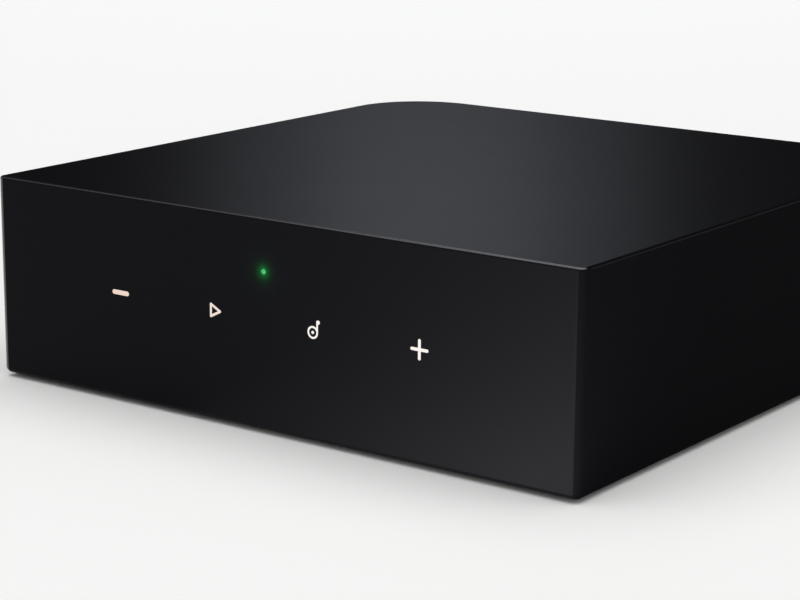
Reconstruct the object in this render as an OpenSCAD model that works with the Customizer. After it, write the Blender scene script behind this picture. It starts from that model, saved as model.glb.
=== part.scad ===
// Network music streamer: a low square box with a touch front and a bank of sockets at the rear.
// Millimetres, +Z up, front face towards -Y, origin at the middle of the foot pad's underside.

$fn = 64;

/* [Case] */
// Width of the case, side to side
body_w = 140; // [136:1:180]
// Depth of the case, front face to rear face
body_d = 140; // [126:1:180]
// Height of the case's top above the table
body_h = 42; // [40:0.5:60]
// Plan radius of the two rear corners
rear_corner_r = 18; // [10:0.5:19]
// Plan radius of the two front corners
front_corner_r = 1.5; // [1.4:0.1:2.2]
// Thickness of the side and rear walls
wall_t = 2.2; // [1.8:0.1:3]
// Thickness of the roof
roof_t = 2.4; // [1.8:0.1:3.5]
// Rounding of the upper outer edge
top_edge_r = 0.5; // [0.3:0.1:1.2]
// Rounding of the lower outer edge
skirt_r = 1.2; // [0.3:0.1:1.3]
// Play between moulded pieces that slot together
fit_gap = 0.15; // [0.05:0.05:0.25]

/* [Front panel] */
// Thickness of the front panel
fascia_t = 2.4; // [2.3:0.1:4]
// Thickness of the locating rim behind the front panel
rim_t = 1.4; // [1:0.1:2]
// Depth of the locating rim
rim_depth = 4; // [3.4:0.2:6]
// Width of one snap hook on the rim
hook_w = 8; // [4:1:12]
// Distance between neighbouring snap hooks
hook_pitch = 40; // [20:1:48]
// Height that a snap hook catches
hook_reach = 0.6; // [0.3:0.1:0.8]

/* [Touch front] */
// Distance between neighbouring touch zones
touch_pitch = 24.4; // [20:0.2:28]
// Height of the touch zones above the table
touch_z = 22.4; // [20:0.1:26]
// Depth of the status light below the case's top
light_drop = 10.2; // [8:0.1:12]
// Radius of one touch pad
touch_pad_r = 5; // [3:0.5:6]
// Thickness of one touch pad
touch_pad_t = 0.2; // [0.1:0.05:0.3]
// Width of the touch board
touch_board_w = 104; // [100:1:120]
// Thickness of the touch board
touch_board_t = 1; // [0.8:0.1:1.6]
// Touch board below the touch zones' centres
touch_board_below = 9; // [8:0.5:12]
// Touch board above the status light
touch_board_above = 3.5; // [2:0.5:4]
// Thickness of the adhesive sheet behind the front panel
glue_t = 0.4; // [0.3:0.05:0.6]
// Radius of the light pipe's visible end
light_pipe_r = 0.5; // [0.4:0.05:0.9]
// Radius of the light pipe's foot
light_foot_r = 1.5; // [1.2:0.1:2]
// Thickness of the light pipe's foot
light_foot_t = 0.8; // [0.5:0.1:1]
// Height of the status light's chip
led_t = 0.6; // [0.4:0.05:0.7]
// Side of the status light's chip
led_w = 1.4; // [1:0.1:1.8]

/* [Base and foot pad] */
// Height of the case's lower edge above the table
foot_gap = 0.8; // [0.4:0.1:1.4]
// Thickness of the base tray's floor
base_t = 2.6; // [2.4:0.1:4]
// Thickness of the foot pad
pad_t = 2; // [1.6:0.1:2.6]
// Distance from the case's sides to the foot pad
pad_margin = 8; // [7:0.5:11]
// Corner radius of the foot pad
pad_corner_r = 12; // [8:0.5:20]
// Rounding of the foot pad's lower edge
pad_edge_r = 0.5; // [0.2:0.1:0.7]
// Height of the rear sill above the base tray's floor
sill_h = 2.6; // [1.5:0.1:3.5]
// Radius of a screw post in the shell
boss_r = 3.6; // [3:0.1:4.2]
// Distance of the screw posts from the sides and the front
boss_inset = 16; // [14:0.5:17]
// Distance of the rear screw posts from the rear face
rear_boss_inset = 20; // [19:0.5:24]
// Height of the base tray's screw posts
post_h = 3.6; // [3:0.1:6]
// Thickness of the webs that tie the screw posts to the side walls
web_t = 1.4; // [1:0.1:2]
// Height of those webs
web_h = 16; // [8:0.5:20]
// Radius of a case screw's shank
case_screw_r = 1.4; // [1:0.1:1.8]
// Length of thread that bites into the shell
case_screw_bite = 8; // [5:0.5:12]
// Radius of a case screw's head
case_head_r = 2.8; // [2.2:0.1:3.2]
// Height of a case screw's head
case_head_h = 2; // [1.4:0.1:2.4]

/* [Main board] */
// Thickness of the main board
board_t = 1.6; // [1:0.1:2.4]
// Gap between the side walls and the main board
board_edge_gap = 4; // [2:0.5:5]
// Distance from the front face to the main board
board_setback = 22; // [21:0.5:26]
// Height of the main board's standoffs
standoff_h = 3.6; // [3:0.1:6]
// Radius of a standoff
standoff_r = 3; // [2.4:0.1:4]
// Distance of the standoffs from the main board's edges
standoff_inset = 6; // [5:0.5:8]
// Radius of a board screw's shank
board_screw_r = 1.25; // [0.8:0.05:1.5]
// Radius of a board screw's head
board_head_r = 2.4; // [2:0.1:3]
// Height of a board screw's head
board_head_h = 1.6; // [1:0.1:2.2]
// Width of the ribbon
ribbon_w = 12; // [8:0.5:14]
// Thickness of the ribbon
ribbon_t = 0.3; // [0.2:0.05:0.5]
// Bend radius of the ribbon
ribbon_bend_r = 3.5; // [2:0.5:4]
// Width of a ribbon socket
ribbon_socket_w = 16; // [14.5:0.5:20]
// Length of a ribbon socket along the ribbon
ribbon_socket_l = 4.5; // [3:0.5:6]
// Height of a ribbon socket off its board
ribbon_socket_t = 2; // [1.4:0.1:2.6]

/* [Wireless module] */
// Width of the wireless module's board
module_w = 30; // [28:1:40]
// Depth of the wireless module's board
module_d = 32; // [30:1:34]
// Thickness of the wireless module's board
module_t = 1; // [0.6:0.1:1.6]
// Width of the shield can
can_w = 24; // [20:1:27]
// Depth of the shield can
can_d = 18; // [14:1:19]
// Height of the shield can
can_h = 2.6; // [1.8:0.1:4]
// Sheet thickness of the shield can
can_sheet_t = 0.3; // [0.2:0.05:0.5]
// Thickness of the thermal pad
thermal_pad_t = 1; // [0.5:0.1:2]
// Width of the heat sink
sink_w = 26; // [20:1:34]
// Depth of the heat sink
sink_d = 20; // [16:1:21]
// Thickness of the heat sink's base
sink_base_t = 2; // [1.4:0.1:3]
// Height of the heat sink's fins
sink_fin_h = 8; // [4:0.5:10]
// Thickness of one fin
sink_fin_t = 1.2; // [0.8:0.1:1.5]
// Number of fins
sink_fins = 8; // [5:1:9]
// Length of a flat antenna
antenna_l = 38; // [24:1:50]
// Height of a flat antenna
antenna_h = 9; // [6:0.5:12]
// Thickness of a flat antenna
antenna_t = 0.3; // [0.2:0.05:0.5]
// Radius of an antenna plug
antenna_plug_r = 1.5; // [1:0.1:2]
// Height of an antenna plug
antenna_plug_h = 1.2; // [1:0.1:1.6]
// Radius of an antenna lead
antenna_lead_r = 0.6; // [0.4:0.05:0.8]

/* [Board parts] */
// Side of the audio output chip
dac_w = 9; // [5:0.5:12]
// Side of the audio input chip
adc_w = 7; // [4:0.5:9]
// Side of the power chip
power_chip_w = 5; // [3:0.5:7]
// Height of the chips
chip_t = 1; // [0.7:0.1:1.6]
// Side of a power coil
coil_w = 7; // [5:0.5:8]
// Height of a power coil
coil_h = 4; // [2.5:0.5:6]
// Radius of a filter capacitor's can
cap_r = 3.15; // [2:0.05:3.8]
// Height of a filter capacitor
cap_h = 7; // [5:0.5:10]
// Distance between neighbouring filter capacitors
cap_pitch = 10; // [9:0.5:11]
// Length of a clock crystal
crystal_l = 5; // [3:0.5:7]

/* [Rear panel] */
// Thickness of the rear panel
rear_panel_t = 1.6; // [1.2:0.1:2.2]
// Rear panel hidden behind the rear wall at each side
rear_panel_lap = 2.5; // [1.5:0.1:3]
// Gap between neighbouring sockets
port_gap = 1.9; // [1.5:0.1:2]
// Wall left open beside the end sockets
port_margin = 1; // [0.6:0.1:1.4]
// Wall left open above the upper sockets' axis
port_headroom = 6.3; // [5.5:0.1:6.5]
// Gap between a socket and its cut-out
cutout_gap = 0.3; // [0.2:0.05:0.5]

/* [Phono sockets] */
// Radius of a phono socket's sleeve
rca_r = 4.15; // [4:0.05:4.3]
// Sheet thickness of the sleeve
rca_sleeve_t = 0.7; // [0.5:0.05:0.9]
// Length of the sleeve that shows beyond the rear panel
rca_reach = 9.4; // [8.5:0.1:11]
// Depth that the sleeve is set into its block
rca_root = 2.5; // [1.5:0.1:4]
// Chamfer round the sleeve's end
rca_chamfer = 0.4; // [0.2:0.05:0.6]
// Radius of the centre hole
rca_hole_r = 1.65; // [1.6:0.05:1.8]
// Depth of the centre hole
rca_hole_depth = 8.4; // [7.5:0.1:9]
// Countersink round the centre hole
rca_lead_in = 0.4; // [0.2:0.05:0.8]
// Radius of the centre contact
rca_contact_r = 1; // [0.6:0.1:1.2]
// Distance of the insulator from the sleeve's end
rca_insert_recess = 0.6; // [0.2:0.1:1]
// Width of a phono block
rca_w = 9.6; // [9.2:0.1:10]
// Depth of a phono block
rca_d = 11; // [8:0.5:14]
// Height of the lower axis above the main board
rca_axis_h = 6.2; // [5:0.1:6.6]
// Distance between the two axes of a pair
rca_pitch = 14; // [11:0.5:15]

/* [Optical sockets] */
// Width of an optical socket
optical_w = 9.7; // [9.4:0.1:10]
// Depth of an optical socket
optical_d = 13.5; // [12:0.5:16]
// Width of the mouth
mouth_w = 6.2; // [5.8:0.1:6.4]
// Height of the mouth
mouth_h = 6.2; // [5.8:0.1:6.4]
// Thickness of the frame round the mouth
bezel_t = 0.8; // [0.6:0.1:1.2]
// Depth of the cavity behind the frame
optical_cavity_d = 8.6; // [8.2:0.1:10]
// Thickness of a shutter
shutter_t = 0.8; // [0.6:0.1:0.9]
// Shutter hidden behind the frame at each edge
shutter_lap = 0.25; // [0.15:0.05:0.35]
// Room left round the shutter
shutter_gap = 0.35; // [0.3:0.05:0.4]
// Radius of a shutter's hinge pin
shutter_pin_r = 0.4; // [0.3:0.05:0.45]
// Length of a hinge pin's end in the side wall
shutter_pin_l = 0.7; // [0.5:0.05:0.8]
// Radius of the lens
lens_r = 1.3; // [1:0.1:1.8]

/* [Network socket] */
// Width of the network socket
lan_w = 15.9; // [15.4:0.1:16.4]
// Height of the network socket
lan_h = 13.4; // [13:0.1:16]
// Depth of the network socket
lan_d = 21; // [16:0.5:22]
// Sheet thickness of the shield
lan_shield_t = 0.3; // [0.2:0.05:0.5]
// Width of the plug's cavity
lan_mouth_w = 11.8; // [11.7:0.1:12.4]
// Height of the plug's cavity
lan_mouth_h = 7; // [6.6:0.1:7.4]
// Depth of the plug's cavity
lan_mouth_d = 13; // [12.5:0.5:15]
// Height of the cavity's floor above the main board
lan_floor = 2.8; // [2.4:0.1:3]
// Width of the latch's groove
lan_latch_w = 6.4; // [6:0.1:7]
// Depth of the latch's groove below the floor
lan_latch_h = 1.6; // [1.2:0.1:2]
// Distance between neighbouring contacts
lan_contact_pitch = 1.02; // [0.9:0.01:1.1]
// Thickness of one contact
lan_contact_t = 0.4; // [0.3:0.05:0.5]
// Drop of the contacts into the cavity
lan_contact_drop = 1.8; // [1:0.1:2]
// Width of a socket lamp
lan_lamp_w = 3.2; // [2:0.1:3.6]
// Height of a socket lamp
lan_lamp_h = 2; // [1.4:0.1:2.4]

/* [Power, trigger and reset] */
// Outer width of the power inlet
usb_w = 8.94; // [8.8:0.02:9.1]
// Outer height of the power inlet
usb_h = 3.26; // [3.1:0.02:3.4]
// Sheet thickness of the power inlet
usb_sheet_t = 0.3; // [0.2:0.02:0.4]
// Depth of the power inlet
usb_d = 7.4; // [6.5:0.1:9]
// Length of the power inlet's tongue
usb_tongue_l = 4.4; // [3.5:0.1:5]
// Width of the power inlet's tongue
usb_tongue_w = 6.7; // [6:0.1:7]
// Thickness of the power inlet's tongue
usb_tongue_t = 0.7; // [0.5:0.05:0.9]
// Width of the trigger jack
trigger_w = 6.4; // [6.2:0.1:6.8]
// Depth of the trigger jack
trigger_d = 12.5; // [12:0.5:14]
// Radius of the trigger jack's bore
trigger_r = 1.8; // [1.7:0.05:1.9]
// Depth of the trigger jack's bore
trigger_bore_d = 11.5; // [10:0.1:11.8]
// Height of the trigger jack's ring
trigger_ring_t = 1.2; // [0.8:0.1:1.5]
// Radius of the reset button's cap
reset_r = 1.7; // [1.5:0.05:1.9]
// Travel of the reset button
reset_travel = 0.5; // [0.3:0.05:0.8]
// Width of the reset switch
reset_w = 4.8; // [4.6:0.1:5.2]
// Depth of the reset switch
reset_d = 4.5; // [4:0.1:6]
// Distance from the rear panel to the reset switch
reset_reach = 8; // [6.5:0.1:9]
// Radius of the reset button's stem
reset_stem_r = 1.2; // [1:0.05:1.4]
// Sink of the reset button's cap below the rear panel's face
reset_sink = 0.4; // [0.2:0.1:0.8]

/* [View] */
// Piece to draw

/* [Hidden] */

// Clearances and small steps
eps = 0.01;
screw_gap = 0.05;
screw_tip_gap = 1;
hole_gap = 0.3;
pin_gap = 0.05;
seat_gap = 0.1;
glue_gap = 0.1;
board_gap = 0.6;
hook_gap = 0.2;

// Levels, from the table up
z_skirt = foot_gap;
shell_h = body_h - foot_gap;
z_base_top = z_skirt + base_t;
z_recess = z_skirt + pad_t - foot_gap;
z_head_seat = z_recess + seat_gap + case_head_h;
z_post = z_base_top + post_h;
z_board = z_base_top + standoff_h;
z_board_top = z_board + board_t;
z_roof_in = body_h - roof_t;
light_z = body_h - light_drop;

// Planes, from the front back
y_front = -body_d / 2;
y_rear = body_d / 2;
y_fascia_back = y_front + fascia_t;
y_wall_in = y_rear - wall_t;
y_panel_out = y_wall_in - fit_gap;
y_panel_in = y_panel_out - rear_panel_t;
x_wall_in = body_w / 2 - wall_t;
slot_inset = wall_t + fit_gap;

// Snap hooks, from the rim's edge back: bare tip, ramp and catching land
hook_tip = 0.4;
hook_ramp = 1.2;
hook_land = 0.6;
hook_l = hook_tip + hook_ramp + hook_land;
y_rim = y_fascia_back + rim_depth;

// Screw posts
boss_x = body_w / 2 - boss_inset;
boss_spots = [
  [-boss_x, y_front + boss_inset],
  [boss_x, y_front + boss_inset],
  [-boss_x, y_rear - rear_boss_inset],
  [boss_x, y_rear - rear_boss_inset]
];
post_wall = 1.6;
post_r = case_head_r + hole_gap + post_wall;

// Foot pad
pad_w = body_w - 2 * pad_margin;
pad_d = body_d - 2 * pad_margin;
pad_upper_edge_r = 0.1;

// Main board
board_inset = wall_t + board_edge_gap;
board_half_w = body_w / 2 - board_inset;
y_board_front = y_front + board_setback;
standoff_rear_step = 34;
standoff_x = board_half_w - standoff_inset;
standoff_spots = [
  [-standoff_x, y_board_front + standoff_inset],
  [standoff_x, y_board_front + standoff_inset],
  [-standoff_x, y_rear - standoff_rear_step],
  [standoff_x, y_rear - standoff_rear_step]
];
standoff_floor = 0.6;

// Touch board stack
y_touch_board = y_fascia_back + glue_t;
y_touch_back = y_touch_board + touch_board_t;
touch_board_z = touch_z - touch_board_below;
touch_board_h = light_z + touch_board_above - touch_board_z;
touch_xs = [-1.5 * touch_pitch, -0.5 * touch_pitch, 0.5 * touch_pitch, 1.5 * touch_pitch];
light_well_d = light_foot_t + led_t;

// Ribbon, from the touch board down to the main board
touch_socket_rise = 2;
touch_socket_z = touch_board_z + touch_socket_rise;
y_ribbon = y_touch_back + ribbon_socket_t / 2;
z_ribbon = z_board_top + ribbon_socket_t / 2;
board_socket_setback = 2;
y_board_socket = y_board_front + board_socket_setback;

// Wireless module
module_setback = 20;
module_y = y_board_front + module_setback + module_d / 2;
can_setback = 2;
can_y = module_y - module_d / 2 + can_setback + can_d / 2;
thermal_pad_inset = 1;
z_module_top = z_board_top + module_t;
z_can_top = z_module_top + can_h;
z_sink = z_can_top + thermal_pad_t;
plug_side_inset = 6;
plug_rear_inset = 4;
plug_x = module_w / 2 - plug_side_inset;
lead_y = module_y + module_d / 2 - plug_rear_inset;
lead_reach = 22;
lead_side_n = 8;
lead_ring_n = 20;
antenna_y = lead_y;
antenna_drop = 4;
antenna_z = z_roof_in - antenna_drop - antenna_h;

// Sockets in a row, from the +X end
port_widths = [
  usb_w, lan_w, reset_w, rca_w, optical_w, rca_w, trigger_w, rca_w, optical_w
];
port_last = len(port_widths) - 1;
function sum_to(i) = i < 0 ? 0 : port_widths[i] + sum_to(i - 1);
row_w = sum_to(port_last) + port_last * port_gap;
function port_x(i) = row_w / 2 - sum_to(i - 1) - i * port_gap - port_widths[i] / 2;
x_usb = port_x(0);
x_lan = port_x(1);
x_reset = port_x(2);
x_coax = port_x(3);
x_optical_out = port_x(4);
x_line_out = port_x(5);
x_trigger = port_x(6);
x_line_in = port_x(7);
x_optical_in = port_x(8);
z_rca_low = z_board_top + rca_axis_h;
z_rca_high = z_rca_low + rca_pitch;
rca_block_h = 2 * rca_axis_h;
rca_pair_h = rca_block_h + rca_pitch;
white_spots = [[x_line_in, z_rca_high], [x_line_out, z_rca_high]];
red_spots = [[x_line_in, z_rca_low], [x_line_out, z_rca_low]];
coax_spots = [[x_coax, z_rca_low]];
rca_spots = concat(white_spots, red_spots, coax_spots);
y_rca_tip = y_panel_out + rca_reach;
y_rca_root = y_panel_in - rca_root;
y_insert_tip = y_rca_tip - rca_insert_recess;
y_hole_end = y_insert_tip - rca_hole_depth;
contact_tail = 5;
rca_root_step = 0.25;
rca_root_r = rca_r - rca_root_step;

// Window in the rear wall
notch_w = row_w + 2 * port_margin;
z_notch = z_rca_high + port_headroom;
sill_foot = 2;

// Optical sockets
optical_base = 1.2;
optical_roof = 0.9;
shutter_h = mouth_h + 2 * shutter_lap;
shutter_w = mouth_w + 2 * shutter_lap;
knuckle_share = 0.75;
knuckle_r = knuckle_share * shutter_t;
shutter_front = bezel_t + seat_gap;
hinge_s = shutter_front + knuckle_r;
mouth_z = z_board_top + optical_base + shutter_gap + shutter_lap + mouth_h / 2;
hinge_z = mouth_z + mouth_h / 2 + knuckle_r;
cavity_w = shutter_w + 2 * shutter_gap;
cavity_low = mouth_z - mouth_h / 2 - shutter_lap - shutter_gap;
cavity_high = hinge_z + knuckle_r + shutter_gap;
optical_h = cavity_high + optical_roof - z_board_top;
lens_l = 2;

// Network socket
lan_front_step = 0.3;
lan_core_w = lan_w - 2 * lan_shield_t;
lan_core_h = lan_h - lan_shield_t;
y_lan = y_panel_out;
z_lan_roof = z_board_top + lan_floor + lan_mouth_h;
lan_latch_l = 9.1;
lan_lamp_margin = 0.6;
lan_lamp_x = lan_core_w / 2 - lan_lamp_w / 2 - lan_lamp_margin;
lan_lamp_z = z_board_top + lan_core_h - lan_lamp_margin - lan_lamp_h;
lan_lamp_d = 2;

// Network contacts: a strip along the cavity's roof, bent back under itself as a spring
lan_contact_n = 8;
lan_contact_setback = 2.4;
lan_contact_l = 9;
lan_contact_bend = 1.4;
lan_contact_run = 6.4;
lan_contact_cut = 0.2;

// Trigger and reset
trigger_h = 6;
z_trigger = z_board_top + trigger_h / 2;
trigger_ring_gap = 0.3;
trigger_ring_r = trigger_r + trigger_ring_gap;
trigger_ring_wall = 0.5;
trigger_hole_r = trigger_ring_r + trigger_ring_wall + cutout_gap;
reset_h = 6;
z_reset = z_board_top + reset_h / 2;
reset_hole_r = reset_r + cutout_gap;
reset_flange_lip = 0.25;
reset_flange_r = reset_hole_r + reset_flange_lip;
reset_flange_t = 0.8;
reset_stem_grip = 1.6;
y_reset_switch = y_panel_in - reset_reach;

// Parts of the main board stand in rows in front of the deepest socket, set in from its side edges
usb_back_d = 1.6;
parts_gap = 4;
front_row = 6;
middle_row = 16;
back_row = 28;
y_parts = y_panel_out - lan_d - parts_gap;
adc_inset = 15.8;
cap_inset = 27.8;
dac_inset = 31.8;
power_chip_inset = 21.8;
coil_inset = 33.8;
coil_pitch = 12;
coil_corner_r = 1.2;
cap_foot_lip = 0.2;
cap_foot_h = 0.8;
crystal_w = 3.2;
crystal_h = 1.2;
crystal_corner_r = 0.6;
crystal_gap = 3;
dac_spot = [dac_inset - board_half_w, y_parts - back_row];
adc_spot = [adc_inset - board_half_w, y_parts - middle_row];
power_chip_spot = [board_half_w - power_chip_inset, y_parts - front_row];
cap_spots = [for (i = [0:2], j = [0:1])
  [cap_inset - board_half_w + i * cap_pitch, y_parts - front_row - j * cap_pitch]];
coil_spots = [for (i = [0:1])
  [board_half_w - coil_inset - i * coil_pitch, y_parts - front_row]];
crystal_spots = [for (i = [0:1])
  dac_spot + [dac_w / 2 + crystal_gap + crystal_w / 2 + i * (crystal_w + crystal_gap), 0]];

// A quarter of a disc, in the +X +Y corner
module quarter_disc(r) {
  intersection() {
    circle(r = r);
    square(2 * r);
  }
}

// A wall's section: x runs inwards from the outer face, its outer corners rounded
module edge_profile(w, h, r_high, r_low) {
  translate([0, r_low]) square([w, h - r_high - r_low]);
  translate([r_high, h - r_high]) square([w - r_high, r_high]);
  translate([r_high, h - r_high]) rotate(90) quarter_disc(r_high);
  translate([r_low, 0]) square([w - r_low, r_low]);
  translate([r_low, r_low]) rotate(180) quarter_disc(r_low);
}

// That section along a straight side: outer face on x = 0, running back from y = 0
module edge_run(l, w, h, r_high, r_low) {
  rotate([90, 0, 0]) linear_extrude(l) edge_profile(w, h, r_high, r_low);
}

// That section round a corner of radius r about the origin
module edge_turn(r, w, h, r_high, r_low) {
  rotate_extrude(angle = 90) translate([r, 0]) mirror([1, 0]) edge_profile(w, h, r_high, r_low);
}

// The case's plan, set in by a distance and cut straight at the front
module plan(inset, y0) {
  r = rear_corner_r - inset;
  cx = body_w / 2 - rear_corner_r;
  cy = y_rear - rear_corner_r;
  translate([-body_w / 2 + inset, y0]) square([body_w - 2 * inset, cy - y0]);
  translate([-cx, cy]) square([2 * cx, r]);
  translate([cx, cy]) quarter_disc(r);
  mirror([1, 0]) translate([cx, cy]) quarter_disc(r);
}

// A rectangle with round corners, about the origin
module round_rect(w, h, r) {
  square([w - 2 * r, h], center = true);
  for (i = [0:1]) mirror([i, 0]) {
    translate([w / 2 - r, r - h / 2]) square([r, h - 2 * r]);
    for (j = [0:1]) mirror([0, j]) translate([w / 2 - r, h / 2 - r]) quarter_disc(r);
  }
}

// A bar with half-round sides, about the origin
module stadium(w, h) {
  square([w - h, h], center = true);
  for (i = [0:1], j = [0:1]) mirror([i, 0]) mirror([0, j])
    translate([(w - h) / 2, 0]) quarter_disc(h / 2);
}

// A slab with round plan corners and rounded upper and lower edges, standing on z = 0
module round_slab(w, d, h, r, r_high, r_low) {
  translate([r - w / 2, r - d / 2, 0]) cube([w - 2 * r, d - 2 * r, h]);
  for (i = [0:1]) mirror([i, 0, 0]) translate([-w / 2, d / 2 - r, 0])
    edge_run(d - 2 * r, r, h, r_high, r_low);
  for (j = [0:1]) mirror([0, j, 0]) translate([w / 2 - r, d / 2, 0]) rotate([0, 0, -90])
    edge_run(w - 2 * r, r, h, r_high, r_low);
  for (i = [0:1], j = [0:1]) mirror([i, 0, 0]) mirror([0, j, 0])
    translate([w / 2 - r, d / 2 - r, 0]) edge_turn(r, r, h, r_high, r_low);
}

// A box centred on x and standing on z, running forwards from its rear face
module port_box(x, y, z, w, d, h) {
  translate([x - w / 2, y - d, z]) cube([w, d, h]);
}

// A round bar along Y, running forwards from its rear end
module port_bar(x, y, z, r, l) {
  translate([x, y, z]) rotate([90, 0, 0]) cylinder(r = r, h = l);
}

// A profile of radii and depths from the rear end, turned about an axis along Y
module port_turning(x, y, z) {
  translate([x, y, z]) rotate([90, 0, 0]) rotate_extrude() children();
}

// A side profile drawn in Y and Z, spread along X about x
module along_x(x, w) {
  translate([x - w / 2, 0, 0]) rotate([90, 0, 90]) linear_extrude(w) children();
}

// A chip standing on the main board
module board_chip(spot, w) {
  translate([spot[0] - w / 2, spot[1] - w / 2, z_board_top]) cube([w, w, chip_t]);
}

// A snap hook's side profile, rising from the rim
module hook_profile(rise) {
  polygon([
    [y_rim - hook_tip, 0],
    [y_rim - hook_tip - hook_ramp, rise],
    [y_rim - hook_l, rise],
    [y_rim - hook_l, 0]
  ]);
}

// The pockets that the snap hooks catch in
module hook_pockets(z, depth) {
  for (i = [-1:1])
    translate([i * hook_pitch - hook_w / 2 - hook_gap, y_rim - hook_l - seat_gap, z])
      cube([hook_w + 2 * hook_gap, hook_l + seat_gap, depth]);
}

module upper_shell() {
  color("#1b1b1d") difference() {
    union() {
      for (i = [0:1]) mirror([i, 0, 0]) {
        translate([-body_w / 2, y_rear - rear_corner_r, z_skirt])
          edge_run(body_d - fascia_t - rear_corner_r, wall_t, shell_h, top_edge_r, skirt_r);
        translate([body_w / 2 - rear_corner_r, y_rear - rear_corner_r, z_skirt])
          edge_turn(rear_corner_r, wall_t, shell_h, top_edge_r, skirt_r);
      }
      translate([body_w / 2 - rear_corner_r, y_rear, z_skirt]) rotate([0, 0, -90])
        edge_run(body_w - 2 * rear_corner_r, wall_t, shell_h, top_edge_r, skirt_r);
      translate([0, 0, z_roof_in]) linear_extrude(roof_t) plan(wall_t, y_fascia_back);
      for (p = boss_spots) {
        translate([p[0], p[1], z_post]) cylinder(r = boss_r, h = z_roof_in - z_post);
        translate([min(p[0], sign(p[0]) * x_wall_in), p[1] - web_t / 2, z_roof_in - web_h])
          cube([x_wall_in - boss_x, web_t, web_h]);
      }
    }
    for (p = boss_spots)
      translate([p[0], p[1], z_post - eps])
        cylinder(r = case_screw_r + screw_gap, h = case_screw_bite + screw_tip_gap);
    translate([-notch_w / 2, y_wall_in - eps, z_skirt - eps])
      cube([notch_w, wall_t + 2 * eps, z_notch - z_skirt + eps]);
    hook_pockets(z_roof_in - eps, hook_reach + hook_gap + eps);
  }
}

module front_panel() {
  rim_w = 2 * (x_wall_in - fit_gap);
  rim_z = z_base_top + fit_gap;
  rim_h = z_roof_in - z_base_top - 2 * fit_gap;
  color("#161618") difference() {
    union() {
      translate([front_corner_r - body_w / 2, y_front + front_corner_r, z_skirt])
        cube([body_w - 2 * front_corner_r, fascia_t - front_corner_r, shell_h]);
      mirror([0, 1, 0]) translate([body_w / 2 - front_corner_r, y_rear, z_skirt]) rotate([0, 0, -90])
        edge_run(body_w - 2 * front_corner_r, front_corner_r, shell_h, top_edge_r, skirt_r);
      for (i = [0:1]) mirror([i, 0, 0]) {
        translate([-body_w / 2, y_fascia_back, z_skirt])
          edge_run(fascia_t - front_corner_r, front_corner_r, shell_h, top_edge_r, skirt_r);
        mirror([0, 1, 0]) translate([body_w / 2 - front_corner_r, y_rear - front_corner_r, z_skirt])
          edge_turn(front_corner_r, front_corner_r, shell_h, top_edge_r, skirt_r);
      }
      difference() {
        translate([-rim_w / 2, y_fascia_back, rim_z]) cube([rim_w, rim_depth, rim_h]);
        translate([rim_t - rim_w / 2, y_fascia_back, rim_z + rim_t])
          cube([rim_w - 2 * rim_t, rim_depth + eps, rim_h - 2 * rim_t]);
      }
      for (i = [-1:1]) {
        translate([0, 0, rim_z + rim_h]) along_x(i * hook_pitch, hook_w)
          hook_profile(fit_gap + hook_reach);
        translate([0, 0, rim_z]) mirror([0, 0, 1]) along_x(i * hook_pitch, hook_w)
          hook_profile(fit_gap + hook_reach);
      }
    }
    port_bar(0, y_fascia_back + eps, light_z, light_foot_r + pin_gap, light_well_d + eps);
    port_bar(0, y_fascia_back, light_z, light_pipe_r + pin_gap, fascia_t + eps);
  }
}

module base_tray() {
  color("#202022") difference() {
    union() {
      translate([0, 0, z_skirt]) linear_extrude(base_t) plan(slot_inset, y_fascia_back);
      for (p = boss_spots)
        translate([p[0], p[1], z_recess]) cylinder(r = post_r, h = z_post - z_recess);
      for (p = standoff_spots)
        translate([p[0], p[1], z_recess]) cylinder(r = standoff_r, h = z_board - z_recess);
      translate([notch_w / 2 - fit_gap, y_rear, z_skirt]) rotate([0, 0, -90])
        edge_run(notch_w - 2 * fit_gap, wall_t, base_t + sill_h, top_edge_r, skirt_r);
      translate([fit_gap - notch_w / 2, y_wall_in - sill_foot, z_skirt])
        cube([notch_w - 2 * fit_gap, sill_foot, base_t]);
    }
    translate([0, 0, z_skirt - eps]) linear_extrude(pad_t - foot_gap + eps)
      round_rect(pad_w + 2 * glue_gap, pad_d + 2 * glue_gap, pad_corner_r + glue_gap);
    for (p = boss_spots) {
      translate([p[0], p[1], z_recess - eps])
        cylinder(r = case_head_r + hole_gap, h = z_head_seat - z_recess + eps);
      translate([p[0], p[1], z_recess])
        cylinder(r = case_screw_r + hole_gap, h = z_post - z_recess + eps);
    }
    for (p = standoff_spots)
      translate([p[0], p[1], z_recess + standoff_floor])
        cylinder(r = board_screw_r + screw_gap, h = z_board - z_recess);
    hook_pockets(z_base_top - hook_reach - hook_gap, hook_reach + hook_gap + eps);
  }
}

module foot_pad() {
  color("#19191a") round_slab(pad_w, pad_d, pad_t, pad_corner_r, pad_upper_edge_r, pad_edge_r);
}

module case_screws() {
  color("#8e9094") for (p = boss_spots) translate([p[0], p[1], z_head_seat]) {
    translate([0, 0, -case_head_h]) cylinder(r = case_head_r, h = case_head_h);
    cylinder(r = case_screw_r, h = z_post - z_head_seat + case_screw_bite);
  }
}

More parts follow.
